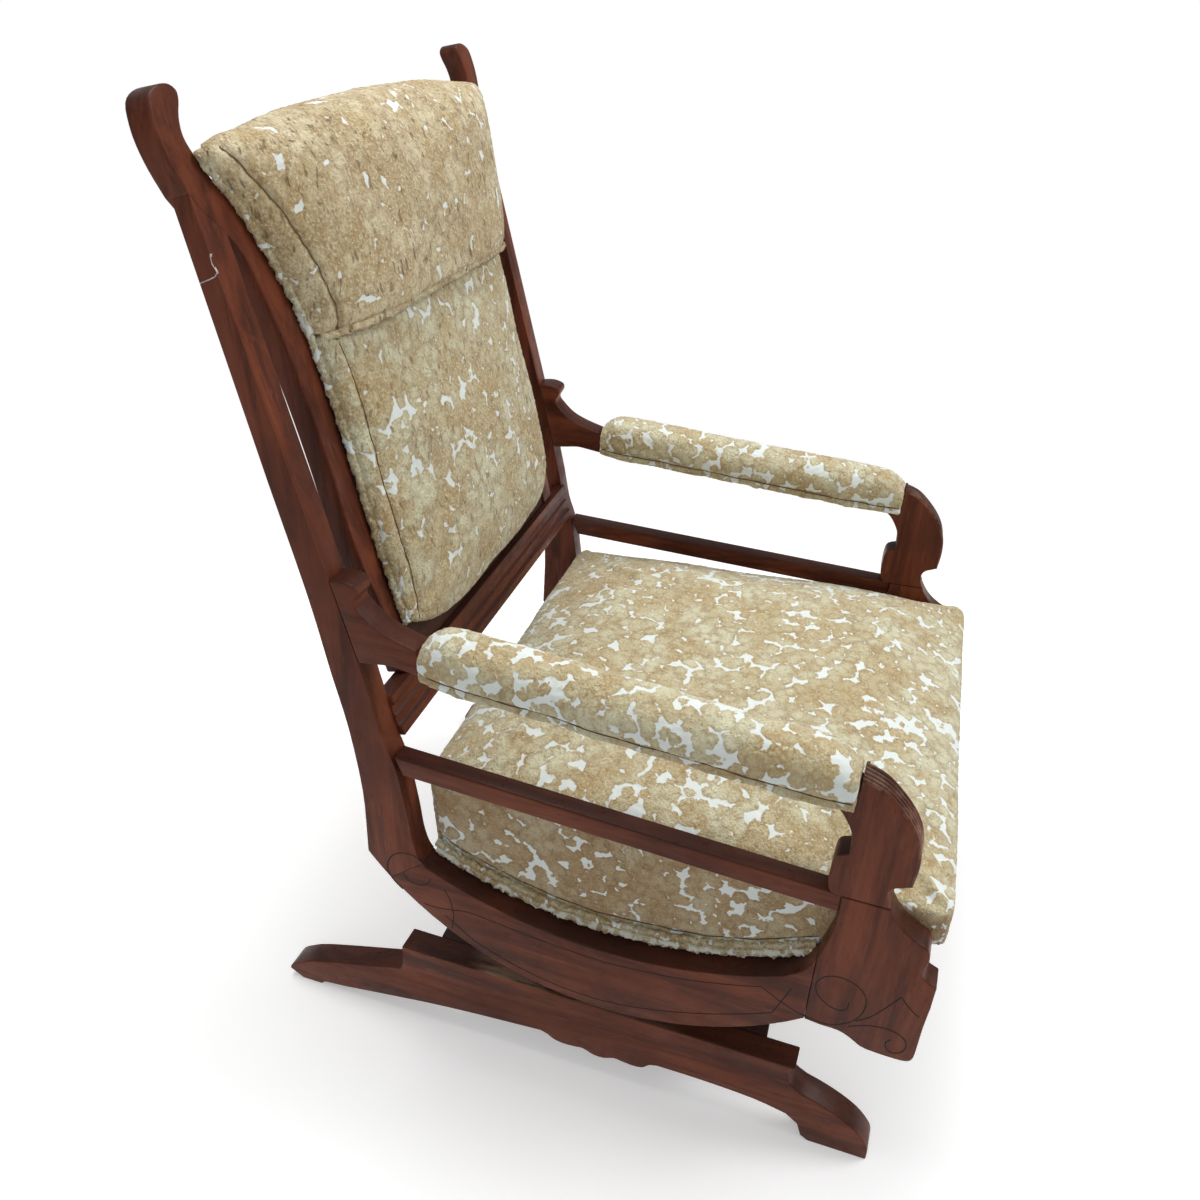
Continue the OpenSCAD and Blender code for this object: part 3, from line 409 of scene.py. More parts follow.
@dataclass(frozen=True)
class VelvetFinish:
    """Sculpted cut velvet: round gold lobes of pile, with the pale woven ground where they part.

    Lobes and flowers are counted per metre, part is where the lobes stop, fur and strokes are how strongly
    single tufts and lain pile show, and sides is a painted shade: a tint multiplied into the faces that
    don't look up.
    """

    name: str
    lobes: float = 70.0
    flowers: float = 11.0
    part: float = 0.705
    fur: float = 0.45
    strokes: float = 0.22
    ground: tuple[float, float, float] = (0.70, 0.75, 0.72)
    cream: tuple[float, float, float] = (0.67, 0.65, 0.46)
    gold: tuple[float, float, float] = (0.52, 0.41, 0.215)
    brown: tuple[float, float, float] = (0.31, 0.19, 0.072)
    warm: tuple[float, float, float] = (0.45, 0.305, 0.125)
    # Painted shade, multiplied into the faces that don't look up
    sides: tuple[float, float, float] = (0.78, 0.68, 0.62)

    def warped(self, b: NodeBook, co: NodeSocket, scale: float, reach: float) -> NodeSocket:
        """Coordinates pushed about by noise.

        Args:
            b: the material's book.
            co: the coordinates.
            scale: how fine the noise is, per metre.
            reach: how far it pushes, in metres.

        Returns:
            The pushed coordinates.
        """
        warp = b.add("ShaderNodeTexNoise")
        warp.inputs["Scale"].default_value = scale
        warp.inputs["Detail"].default_value = 1
        b.join(co, warp.inputs["Vector"])
        centred = b.add("ShaderNodeVectorMath", operation="SUBTRACT")
        b.join(warp.outputs["Color"], centred.inputs[0])
        centred.inputs[1].default_value = (0.5, 0.5, 0.5)
        pushed = b.add("ShaderNodeVectorMath", operation="MULTIPLY_ADD")
        b.join(centred.outputs[0], pushed.inputs[0])
        pushed.inputs[1].default_value = (reach, reach, reach)
        b.join(co, pushed.inputs[2])
        return pushed.outputs[0]

    def cells(self, b: NodeBook, vec: NodeSocket, scale: float, soft: float = 0.0) -> NodeSocket:
        """How far each place is from the middle of its lobe.

        Args:
            b: the material's book.
            vec: where it reads.
            scale: lobes per metre.
            soft: how far neighbouring lobes melt into each other.

        Returns:
            The distance, in lobes.
        """
        vor = b.add("ShaderNodeTexVoronoi", feature="SMOOTH_F1" if soft else "F1")
        if soft:
            vor.inputs["Smoothness"].default_value = soft
        vor.inputs["Scale"].default_value = scale
        vor.inputs["Randomness"].default_value = 0.9
        b.join(vec, vor.inputs["Vector"])
        return vor.outputs["Distance"]

    def make(self) -> Material:
        """Builds the material.

        Returns:
            The material.
        """
        b = NodeBook(self.name)
        co = b.add("ShaderNodeTexCoord").outputs["Object"]
        vec = self.warped(b, co, 36, 0.012)
        lobe = self.cells(b, vec, self.lobes, 0.22)
        leaf = self.cells(b, vec, self.lobes * 2.3)
        flower = self.cells(b, self.warped(b, co, 13, 0.022), self.flowers)
        tufts = b.noise(co, 330, 3, 0.65)
        fine = b.noise(co, 1100, 2, 0.6)
        chain = b.span(b.math("ABSOLUTE", b.math("SUBTRACT", flower, 0.50)), 0.0, 0.24, 0.085, -0.070)
        wide = b.math("ADD", b.math("SUBTRACT", lobe, self.part), chain)
        frayed = b.math("ADD", wide, b.math("MULTIPLY", b.math("SUBTRACT", tufts, 0.5), 0.20))
        depth = b.math("ADD", frayed, b.math("MULTIPLY", b.math("SUBTRACT", leaf, 0.52), 0.22))
        bare = b.span(depth, -0.012, 0.030)
        nap = b.noise(co, 17, 3, 0.5, 0.8)
        colour = b.blend(b.span(nap, 0.38, 0.60, 0.30, 1.0), self.gold, self.cream)
        # Painted shade: brown grows towards each lobe's rim, for the shaded cut sides of the pile
        lobe_rim_shade = b.math("ADD", lobe,
                       b.math("MULTIPLY", b.math("SUBTRACT", b.noise(co, 46, 2, 0.5, 0.4), 0.5), 0.9))
        colour = b.blend(b.span(lobe_rim_shade, 0.24, 0.76, 0.0, 0.60), colour, self.brown)
        colour = b.blend(b.span(b.noise(co, 15, 2, 0.5, 0.6), 0.46, 0.64, 0.0, 0.50), colour, self.warm)
        colour = b.blend(b.span(leaf, 0.10, 0.50, 0.42, 0.0), colour, self.cream)
        colour = b.blend(b.span(tufts, 0.52, 0.70, 0.0, self.fur), colour, (0.82, 0.74, 0.52))
        colour = b.blend(b.span(tufts, 0.46, 0.30, 0.0, self.fur), colour, self.brown)
        lain = b.add("ShaderNodeMapping")
        lain.inputs["Rotation"].default_value = (math.radians(13), math.radians(24), math.radians(8))
        lain.inputs["Scale"].default_value = (1.0, 1.0, 0.30)
        b.join(vec, lain.inputs["Vector"])
        stroke = b.span(b.noise(lain.outputs[0], 190, 1, 0.4), 0.64, 0.74, 0.0, self.strokes)
        colour = b.blend(stroke, colour, (0.16, 0.085, 0.032))
        weave = b.span(fine, 0.4, 0.6, 0, 0.3)
        # Painted shade: the faces that don't look up are multiplied by the sides tint
        up = b.add("ShaderNodeSeparateXYZ")
        b.join(b.add("ShaderNodeTexCoord").outputs["Normal"], up.inputs[0])
        side_shade = b.span(up.outputs["Z"], 0.10, 0.55, 1.0, 0.0)
        colour = b.blend(side_shade, colour, self.sides, "MULTIPLY")
        colour = b.blend(bare, colour, b.blend(weave, self.ground, (0.64, 0.67, 0.65)))
        b.join(colour, b.shader.inputs["Base Color"])
        pile = b.span(depth, 0.10, -0.12)
        round_top = b.math("MULTIPLY", pile, b.math("SUBTRACT", 1.0, b.math("MULTIPLY", lobe, 0.5)))
        worked = b.math("SUBTRACT", b.math("SUBTRACT", tufts, 0.5), b.math("MULTIPLY", stroke, 0.8))
        first = b.bump(round_top, 0.34, 0.0026)
        second = b.bump(b.math("MULTIPLY", pile, worked), 0.80, 0.0048, first)
        b.join(b.bump(fine, 0.30, 0.0010, second), b.shader.inputs["Normal"])
        b.set(Roughness=0.95, Sheen_Weight=0.22, Sheen_Roughness=0.5, Specular_IOR_Level=0.12)
        return b.mat


@dataclass(frozen=True)
class MetalFinish:
    """Dull wire or japanned iron."""

    name: str
    base: tuple[float, float, float]
    metallic: float
    rough: float

    def make(self) -> Material:
        """Builds the material.

        Returns:
            The material.
        """
        b = NodeBook(self.name)
        vec = b.place((1, 1, 1))
        rust = b.span(b.noise(vec, 120, 6, 0.7), 0.52, 0.72, 0, 0.6)
        b.join(b.blend(rust, self.base, (0.10, 0.045, 0.02)), b.shader.inputs["Base Color"])
        b.join(b.span(b.noise(vec, 300, 3), 0.3, 0.7, self.rough - 0.08, self.rough + 0.12),
               b.shader.inputs["Roughness"])
        b.join(b.bump(b.noise(vec, 500, 3), 0.15, 0.0004), b.shader.inputs["Normal"])
        b.set(Metallic=self.metallic)
        return b.mat


@dataclass(frozen=True)
class WovenFinish:
    """Plain woven jute or cambric with its two threads."""

    name: str
    warp: tuple[float, float, float]
    weft: tuple[float, float, float]
    threads: float = 900.0

    def make(self) -> Material:
        """Builds the material.

        Returns:
            The material.
        """
        b = NodeBook(self.name)
        vec = b.place((1, 1, 1))
        waves = []
        for axis in ("X", "Y"):
            w = b.add("ShaderNodeTexWave", bands_direction=axis)
            w.inputs["Scale"].default_value = self.threads / 6.283
            w.inputs["Distortion"].default_value = 0.6
            b.join(vec, w.inputs["Vector"])
            waves.append(w.outputs["Fac"])
        cross = b.math("MULTIPLY", waves[0], waves[1])
        colour = b.blend(cross, self.warp, self.weft)
        dirt = b.span(b.noise(vec, 14, 5, 0.6), 0.45, 0.7, 0, 0.4)
        b.join(b.blend(dirt, colour, self.warp, "MULTIPLY"), b.shader.inputs["Base Color"])
        b.join(b.bump(cross, 0.4, 0.0005), b.shader.inputs["Normal"])
        b.set(Roughness=0.9, Sheen_Weight=0.1)
        return b.mat


@dataclass(frozen=True)
class LineFinish:
    """A thin line's colour in old wood: the dark of an incised line, which also paints the shade of its
    uncut groove; the painted shadow in a pressed seam; and a pale crack.
    """

    name: str
    base: tuple[float, float, float]
    rough: float = 0.7

    def make(self) -> Material:
        """Builds the material.

        Returns:
            The material.
        """
        b = NodeBook(self.name)
        vec = b.place((1, 1, 1))
        patch = b.span(b.noise(vec, 150, 4, 0.6), 0.35, 0.7)
        lighter = tuple(min(1.0, c * 2.0) for c in self.base)
        b.join(b.blend(patch, self.base, lighter), b.shader.inputs["Base Color"])
        b.join(b.bump(patch, 0.2, 0.0003), b.shader.inputs["Normal"])
        b.set(Roughness=self.rough)
        return b.mat


class Finishes:
    """Every material of the chair, made once."""

    def __init__(self) -> None:
        """Makes the materials."""
        self.walnut = {g: WalnutFinish(f"walnut_{g.value}", g).make() for g in Grain}
        self.beam = WalnutFinish("walnut_beam", Grain.ALONG, track=True).make()
        dull = dict(base=(0.075, 0.030, 0.020), dark=(0.035, 0.015, 0.011), light=(0.12, 0.055, 0.035),
                    gloss=0.5)
        self.hidden = {g: WalnutFinish(f"stained_{g.value}", g, **dull).make() for g in Grain}
        self.velvet = VelvetFinish("gold_velvet").make()
        # The arms' faces that don't look up get a lighter painted shade; the back and headrest get none
        self.arm_velvet = VelvetFinish("gold_velvet_arms", part=0.655, sides=(0.92, 0.90, 0.86)).make()
        self.back_velvet = VelvetFinish("gold_velvet_back", part=0.765, fur=0.60, strokes=0.45,
                                        sides=NO_SIDE_SHADE).make()
        self.head_velvet = VelvetFinish("gold_velvet_head", part=0.83, fur=0.70, strokes=0.62,
                                        sides=NO_SIDE_SHADE, cream=(0.70, 0.61, 0.40),
                                        gold=(0.47, 0.365, 0.195)).make()
        self.roll_velvet = VelvetFinish("gold_velvet_rolls", lobes=95.0, part=0.80, fur=0.65).make()
        self.fringe_velvet = VelvetFinish("gold_velvet_fringe", lobes=120.0, part=0.50, fur=0.75,
                                          ground=(0.66, 0.66, 0.56)).make()
        self.iron = MetalFinish("japanned_iron", (0.018, 0.018, 0.020), 0.6, 0.45).make()
        self.steel = MetalFinish("drawn_steel", (0.30, 0.30, 0.31), 1.0, 0.38).make()
        self.jute = WovenFinish("jute_webbing", (0.30, 0.20, 0.10), (0.52, 0.40, 0.24), 700).make()
        self.cambric = WovenFinish("black_cambric", (0.012, 0.012, 0.014), (0.035, 0.035, 0.038)).make()
        # The incised lines: the grooves' own dark together with their painted shade
        self.groove_dark_and_shade = LineFinish("incised_line", (0.012, 0.005, 0.004), 0.9).make()
        # Painted shadow: the thin dark line that lies in each pressed seam
        self.seam = LineFinish("seam_shade", (0.115, 0.066, 0.030), 0.9).make()
        self.crack = LineFinish("pale_crack", (0.36, 0.34, 0.32)).make()


# Mesh helpers


def put(name: str, mesh: Mesh, mat: Material, body: str, angle: float, slot: str,
        *nodes: str) -> Object:
    """Makes a shown piece of a mesh: one material, smooth shading and a body to ride on.

    Args:
        name: the piece's name.
        mesh: its mesh, placed in the chair's frame.
        mat: its material.
        body: the body that it rides on.
        angle: edges sharper than this, in degrees, stay crisp.
        slot: not used.
        nodes: the CAD nodes that it stands for.

    Returns:
        The object.
    """
    mesh.materials.clear()
    mesh.materials.append(mat)
    for poly in mesh.polygons:
        poly.use_smooth = True
        poly.material_index = 0
    mesh.set_sharp_from_angle(angle=math.radians(angle))
    obj = bpy.data.objects.new(name, mesh)
    bpy.context.scene.collection.objects.link(obj)
    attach(obj, body)
    if nodes:
        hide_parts(*nodes)
    log.info("%s: %d faces, rides on %s", name, len(mesh.polygons), body)
    return obj


def settled(obj: Object, mod: Modifier) -> Mesh:
    """Takes the mesh that a modifier makes, and takes the modifier off.

    Args:
        obj: the object.
        mod: its modifier.

    Returns:
        The plain mesh.
    """
    view = bpy.context.evaluated_depsgraph_get()
    mesh = bpy.data.meshes.new_from_object(obj.evaluated_get(view))
    obj.modifiers.remove(mod)
    return mesh


def outwards(mesh: Mesh, merge: bool = True) -> None:
    """Turns a mesh's faces outwards.

    Args:
        mesh: the mesh, changed in place.
        merge: whether points that coincide are made one first.
    """
    bm = bmesh.new()
    bm.from_mesh(mesh)
    if merge:
        bmesh.ops.remove_doubles(bm, verts=bm.verts, dist=1e-6)
    bmesh.ops.recalc_face_normals(bm, faces=bm.faces)
    bm.to_mesh(mesh)
    bm.free()


def mesh_of(name: str, verts: Sequence[Sequence[float]], faces: Sequence[Sequence[int]]) -> Mesh:
    """A mesh from points and faces, with its normals turned outwards.

    Args:
        name: the mesh's name.
        verts: its points.
        faces: its faces.

    Returns:
        The mesh.
    """
    mesh = bpy.data.meshes.new(name)
    mesh.from_pydata([tuple(v) for v in verts], [], [tuple(f) for f in faces])
    outwards(mesh)
    return mesh


def dress(node: str, mat: Material) -> None:
    """Gives a CAD node that stays its material."""
    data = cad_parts[node].data
    data.materials.clear()
    data.materials.append(mat)


def eased_board(node: str, mat: Material, body: str, width: float, slot: str = "walnut",
                ending: str = "_wood") -> Object:
    """A board or plate from its CAD node, with its edges eased and marked for wear.

    Args:
        node: the CAD node, which the piece replaces.
        mat: its material.
        body: the body that it rides on.
        width: how far the edges are eased.
        slot: the slot name that it hands on to put.
        ending: what the piece's name adds to the node's.

    Returns:
        The piece.
    """
    bm = bmesh.new()
    bm.from_mesh(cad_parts[node].data)
    bmesh.ops.remove_doubles(bm, verts=bm.verts, dist=2e-6)
    bmesh.ops.dissolve_limit(bm, angle_limit=math.radians(0.6), verts=bm.verts, edges=bm.edges)
    sharp = [e for e in bm.edges if len(e.link_faces) == 2 and e.calc_face_angle(0) > math.radians(28)]
    done = bmesh.ops.bevel(bm, geom=sharp, offset=width, offset_type="OFFSET", segments=3, profile=0.6,
                           affect="EDGES", clamp_overlap=True)
    worn = {v for f in done["faces"] for v in f.verts}
    layer = bm.verts.layers.float.new("edge_wear")
    for v in bm.verts:
        v[layer] = 1.0 if v in worn else 0.0
    mesh = bpy.data.meshes.new(node + "_eased")
    bm.to_mesh(mesh)
    bm.free()
    return put(node + ending, mesh, mat, body, BOARD_EDGE, slot, node)


class PathTree:
    """A Geometry Nodes tree that runs a round section along a path of edges."""

    def __init__(self) -> None:
        """Builds the tree with its named inputs."""
        tree = bpy.data.node_groups.new("section_along_path", "GeometryNodeTree")
        face = tree.interface
        face.new_socket("Path", in_out="INPUT", socket_type="NodeSocketGeometry")
        self.radius = face.new_socket("Radius", in_out="INPUT", socket_type="NodeSocketFloat").identifier
        self.sides = face.new_socket("Sides", in_out="INPUT", socket_type="NodeSocketInt").identifier
        self.finish = face.new_socket("Finish", in_out="INPUT", socket_type="NodeSocketMaterial").identifier
        face.new_socket("Mesh", in_out="OUTPUT", socket_type="NodeSocketGeometry")
        n = tree.nodes
        gin, gout = n.new("NodeGroupInput"), n.new("NodeGroupOutput")
        curve = n.new("GeometryNodeMeshToCurve")
        ring = n.new("GeometryNodeCurvePrimitiveCircle")
        sweep = n.new("GeometryNodeCurveToMesh")
        real = n.new("GeometryNodeRealizeInstances")
        paint = n.new("GeometryNodeSetMaterial")
        link = tree.links.new
        link(gin.outputs["Path"], curve.inputs[0])
        link(gin.outputs["Radius"], ring.inputs["Radius"])
        link(gin.outputs["Sides"], ring.inputs["Resolution"])
        link(curve.outputs[0], sweep.inputs["Curve"])
        link(ring.outputs[0], sweep.inputs["Profile Curve"])
        sweep.inputs["Fill Caps"].default_value = True
        link(sweep.outputs[0], real.inputs[0])
        link(real.outputs[0], paint.inputs["Geometry"])
        link(gin.outputs["Finish"], paint.inputs["Material"])
        link(paint.outputs[0], gout.inputs["Mesh"])
        self.tree = tree

    def run(self, name: str, paths: Sequence[Sequence[Vector]], radius: float, sides: int,
            mat: Material) -> Mesh:
        """Sweeps the section along paths.

        Args:
            name: the mesh's name.
            paths: one list of points for each path.
            radius: the section's radius.
            sides: its corners.
            mat: its material.

        Returns:
            The plain mesh.
        """
        verts: list[tuple[float, float, float]] = []
        edges: list[tuple[int, int]] = []
        for path in paths:
            a = len(verts)
            verts += [tuple(p) for p in path]
            edges += [(a + i, a + i + 1) for i in range(len(path) - 1)]
        seed = bpy.data.meshes.new(name + "_path")
        seed.from_pydata(verts, edges, [])
        obj = bpy.data.objects.new(name + "_path", seed)
        bpy.context.scene.collection.objects.link(obj)
        mod = obj.modifiers.new("sweep", "NODES")
        mod.node_group = self.tree
        mod[self.radius] = radius
        mod[self.sides] = sides
        mod[self.finish] = mat
        mesh = settled(obj, mod)
        bpy.data.objects.remove(obj)
        outwards(mesh)
        mesh.name = name
        return mesh


class TackTree:
    """A Geometry Nodes tree that sets a domed tack on every point of a path."""

    def __init__(self) -> None:
        """Builds the tree with its named inputs."""
        tree = bpy.data.node_groups.new("tacks_on_points", "GeometryNodeTree")
        face = tree.interface
        face.new_socket("Points", in_out="INPUT", socket_type="NodeSocketGeometry")
        self.radius = face.new_socket("Head radius", in_out="INPUT",
                                      socket_type="NodeSocketFloat").identifier
        self.finish = face.new_socket("Finish", in_out="INPUT", socket_type="NodeSocketMaterial").identifier
        face.new_socket("Mesh", in_out="OUTPUT", socket_type="NodeSocketGeometry")
        n = tree.nodes
        gin, gout = n.new("NodeGroupInput"), n.new("NodeGroupOutput")
        dome = n.new("GeometryNodeMeshUVSphere")
        dome.inputs["Segments"].default_value = 10
        dome.inputs["Rings"].default_value = 6
        flat = n.new("GeometryNodeTransform")
        flat.inputs["Scale"].default_value = (1, 1, 0.55)
        each = n.new("GeometryNodeInstanceOnPoints")
        aim = n.new("FunctionNodeAlignEulerToVector")
        aim.axis = "Z"
        norm = n.new("GeometryNodeInputNormal")
        real = n.new("GeometryNodeRealizeInstances")
        paint = n.new("GeometryNodeSetMaterial")
        link = tree.links.new
        link(gin.outputs["Head radius"], dome.inputs["Radius"])
        link(dome.outputs[0], flat.inputs[0])
        link(gin.outputs["Points"], each.inputs["Points"])
        link(flat.outputs[0], each.inputs["Instance"])
        link(norm.outputs[0], aim.inputs["Vector"])
        link(aim.outputs[0], each.inputs["Rotation"])
        link(each.outputs[0], real.inputs[0])
        link(real.outputs[0], paint.inputs["Geometry"])
        link(gin.outputs["Finish"], paint.inputs["Material"])
        link(paint.outputs[0], gout.inputs["Mesh"])
        self.tree = tree

    def run(self, name: str, points: Sequence[Vector], normals: Sequence[Vector], radius: float,
            mat: Material) -> Mesh:
        """Sets the tacks.

        Args:
            name: the mesh's name.
            points: where they stand.
            normals: the way that each head faces.
            radius: the head's radius.
            mat: their material.

        Returns:
            The plain mesh.
        """
        seed = bpy.data.meshes.new(name + "_points")
        verts: list[Vector] = []
        faces: list[tuple[int, int, int]] = []
        for p, nv in zip(points, normals):
            u = nv.orthogonal().normalized() * 1e-6
            w = nv.cross(u)
            faces.append((len(verts), len(verts) + 1, len(verts) + 2))
            verts += [p + u, p + w, p - u - w]
        seed.from_pydata([tuple(v) for v in verts], [], faces)
        obj = bpy.data.objects.new(name + "_points", seed)
        bpy.context.scene.collection.objects.link(obj)
        mod = obj.modifiers.new("tacks", "NODES")
        mod.node_group = self.tree
        mod[self.radius] = radius
        mod[self.finish] = mat
        mesh = settled(obj, mod)
        bpy.data.objects.remove(obj)
        mesh.name = name
        return mesh


# Stuffing


def points_of(mesh: Mesh, what: str) -> np.ndarray:
    """Reads three numbers for each of a mesh's points.

    Args:
        mesh: the mesh.
        what: "co" for places or "normal" for directions.

    Returns:
        One row for each point.
    """
    flat = np.empty(len(mesh.vertices) * 3)
    mesh.vertices.foreach_get(what, flat)
    return flat.reshape(-1, 3)


@dataclass
class Stuffing:
    """Swells a closed form as sewn, stuffed fabric does."""

    voxel: float = 0.006
    pressure: float = 4.0
    cap: float = 0.016
    frames: int = 20

    def swell(self, name: str, mesh: Mesh, hold: Callable[[Vector], float],
              keep: Callable[[Vector], Vector]) -> Mesh:
        """Remeshes a form, swells it with the cloth solver and keeps it in its space.

        Args:
            name: the piece's name.
            mesh: the closed form.
            hold: how far a point is held, 0 free to 1 pinned.
            keep: moves a point back into the space that it may fill.

        Returns:
            The swollen mesh.
        """
        scene = bpy.context.scene
        obj = bpy.data.objects.new(name + "_form", mesh)
        scene.collection.objects.link(obj)
        bpy.context.view_layer.objects.active = obj
        re = obj.modifiers.new("even", "REMESH")
        re.mode = "VOXEL"
        re.voxel_size = self.voxel
        even = settled(obj, re)
        obj.data = even
        start = points_of(even, "co")
        end = start.copy()
        group = obj.vertex_groups.new(name="held")
        for i, co in enumerate(start):
            group.add([i], hold(Vector(co)), "REPLACE")
        mod = obj.modifiers.new("cloth", "CLOTH")
        mod.settings.quality = 5
        mod.settings.mass = 0.3
        mod.settings.tension_stiffness = 18
        mod.settings.compression_stiffness = 18
        mod.settings.shear_stiffness = 6
        mod.settings.bending_stiffness = 0.6
        mod.settings.use_pressure = True
        mod.settings.uniform_pressure_force = self.pressure
        mod.settings.vertex_group_mass = "held"
        mod.settings.effector_weights.gravity = 0.0
        mod.collision_settings.use_collision = False
        for f in range(1, self.frames + 1):
            scene.frame_set(f)
        soft = settled(obj, mod)
        end = points_of(soft, "co")
        bpy.data.meshes.remove(soft)
        scene.frame_set(1)
        move = end - start
        far = np.linalg.norm(move, axis=1, keepdims=True)
        move *= np.minimum(1.0, self.cap / np.maximum(far, 1e-9))
        end = start + move
        for i in range(len(end)):
            end[i] = keep(Vector(end[i]))
        even.vertices.foreach_set("co", end.reshape(-1))
        for group in list(obj.vertex_groups):
            obj.vertex_groups.remove(group)
        sub = obj.modifiers.new("sub", "SUBSURF")
        sub.levels = sub.render_levels = 1
        done = settled(obj, sub)
        bpy.data.objects.remove(obj)
        done.name = name
        return done


def press(mesh: Mesh, paths: Sequence[Sequence[Vector]], width: float, depth: float) -> None:
    """Draws a soft mesh in along seam paths.

    Args:
        mesh: the mesh, changed in place.
        paths: the seams.
        width: how far from a seam the fabric dips.
        depth: how deep it dips at the seam.
    """
    co, nor = points_of(mesh, "co"), points_of(mesh, "normal")
    for path in paths:
        line = np.array([tuple(p) for p in path])
        low, high = line.min(0) - width, line.max(0) + width
        near = np.where(((co > low) & (co < high)).all(axis=1))[0]
        if not len(near):
            continue
        best = np.full(len(near), 1e9)
        for a, b in zip(line[:-1], line[1:]):
            ab = b - a
            t = np.clip(((co[near] - a) @ ab) / max(float(ab @ ab), 1e-12), 0, 1)
            best = np.minimum(best, np.linalg.norm(co[near] - (a + t[:, None] * ab), axis=1))
        fall = np.clip(1 - best / width, 0, 1) ** 2
        co[near] -= nor[near] * (fall * depth)[:, None]
    mesh.vertices.foreach_set("co", co.reshape(-1))
    mesh.update()


def ruffle(mesh: Mesh, size: float, scale: float, seed: float) -> None:
    """Adds soft unevenness to a stuffed mesh.

    Args:
        mesh: the mesh, changed in place.
        size: the greatest shift.
        scale: bumps per metre.
        seed: where in the noise it starts.
    """
    co, nor = points_of(mesh, "co"), points_of(mesh, "normal")
    start = Vector((seed, 0, 0))
    lift = np.array([noise.noise(Vector(p) * scale + start) for p in co])
    mesh.vertices.foreach_set("co", (co + nor * (lift * size)[:, None]).reshape(-1))
    mesh.update()


def loft(rings: Sequence[Sequence[Vector]], name: str) -> Mesh:
    """A closed skin over rings with the same count of points.

    Args:
        rings: closed rings, first to last.
        name: the mesh's name.

    Returns:
        The mesh.
    """
    n = len(rings[0])
    verts = [p for r in rings for p in r]
    faces: list[Sequence[int]] = []
    for i in range(len(rings) - 1):
        for k in range(n):
            a, b = i * n + k, i * n + (k + 1) % n
            faces.append((a, b, b + n, a + n))
    faces.append(tuple(range(n)))
    faces.append(tuple((len(rings) - 1) * n + k for k in reversed(range(n))))
    return mesh_of(name, verts, faces)


def sheet_block(name: str, front: Sequence[Sequence[Vector]], back: Sequence[Sequence[Vector]]) -> Mesh:
    """A closed block between two grids of points.

    Args:
        name: the mesh's name.
        front: rows of front points.
        back: rows of back points.

    Returns:
        The mesh.
    """
    m, n = len(front), len(front[0])
    verts = [p for row in front for p in row] + [p for row in back for p in row]
    k = m * n
    faces: list[Sequence[int]] = []
    for j in range(m - 1):
        for i in range(n - 1):
            a = j * n + i
            faces.append((a, a + 1, a + n + 1, a + n))
            faces.append((k + a, k + a + n, k + a + n + 1, k + a + 1))
    rim = [*range(n), *(j * n + n - 1 for j in range(1, m)),
           *((m - 1) * n + i for i in range(n - 2, -1, -1)), *(j * n for j in range(m - 2, 0, -1))]
    for a, b in zip(rim, rim[1:] + rim[:1]):
        faces.append((a, a + k, b + k, b))
    return mesh_of(name, verts, faces)


def paired_grids(rows: int, cols: int, place: Callable[[float, float], tuple[Vector, Vector]]
                 ) -> tuple[list[list[Vector]], list[list[Vector]]]:
    """Two grids of points from one rule.

    Args:
        rows: steps along.
        cols: steps across.
        place: takes s from -1 to 1 across and t from 0 to 1 along, and gives the two points there.

    Returns:
        The two grids.
    """
    both = [[place(2 * i / cols - 1, j / rows) for i in range(cols + 1)] for j in range(rows + 1)]
    return [[p[0] for p in row] for row in both], [[p[1] for p in row] for row in both]


def furry_roll(paths: PathTree, name: str, lines: Sequence[Sequence[Vector]], radius: float,
               mat: Material) -> Object:
    """A covered cord with its pile standing out, along each line.

    Args:
        paths: the tree that sweeps its section.
        name: the piece's name.
        lines: where the cords run.
        radius: their radius.
        mat: their material.

    Returns:
        The piece.
    """
    fine = []
    for line in lines:
        length = sum((b - a).length for a, b in zip(line[:-1], line[1:]))
        fine.append(smooth_path(line, max(1, round(length / (len(line) - 1) / 0.0018))))
    mesh = paths.run(name, fine, radius, 14, mat)
    ruffle(mesh, size=radius * 0.50, scale=130, seed=3.0)
    ruffle(mesh, size=radius * 0.42, scale=420, seed=8.0)
    return put(name, mesh, mat, "chair", CLOTH_EDGE, "velvet")


def seam_shadow_line(paths: PathTree, name: str, mesh: Mesh, lines: Sequence[Sequence[Vector]],
             mat: Material) -> None:
    """Lays a thin dark line at the bottom of pressed seams: a painted shadow in the seam.

    Args:
        paths: the tree that sweeps its section.
        name: the piece's name.
        mesh: the stuffed mesh, already pressed in.
        lines: the seams.
        mat: the line's material.
    """
    tree = surface(mesh)
    near = [[tree.find_nearest(p)[0] for p in line] for line in lines]
    for line in near:
        for _ in range(3):
            line[1:-1] = [(a + 2 * b + c) / 4 for a, b, c in zip(line[:-2], line[1:-1], line[2:])]
    put(name, paths.run(name, near, 0.0006, 6, mat), mat, "chair", WIRE_EDGE, "velvet")


def surface(mesh: Mesh) -> BVHTree:
    """A search tree over a mesh, to lay seams on it."""
    bm = bmesh.new()
    bm.from_mesh(mesh)
    tree = BVHTree.FromBMesh(bm)
    bm.free()
    return tree


def laid(tree: BVHTree, points: Sequence[Vector], way: Vector) -> list[Vector]:
    """Drops points onto a surface along a direction.

    Args:
        tree: the surface.
        points: where the drops start, in front of the surface.
        way: the direction of the drop.

    Returns:
        The points that met the surface.
    """
    out = []
    for p in points:
        hit = tree.ray_cast(p, way)
        if hit[0] is not None:
            out.append(hit[0])
    return out


# Sub-assemblies


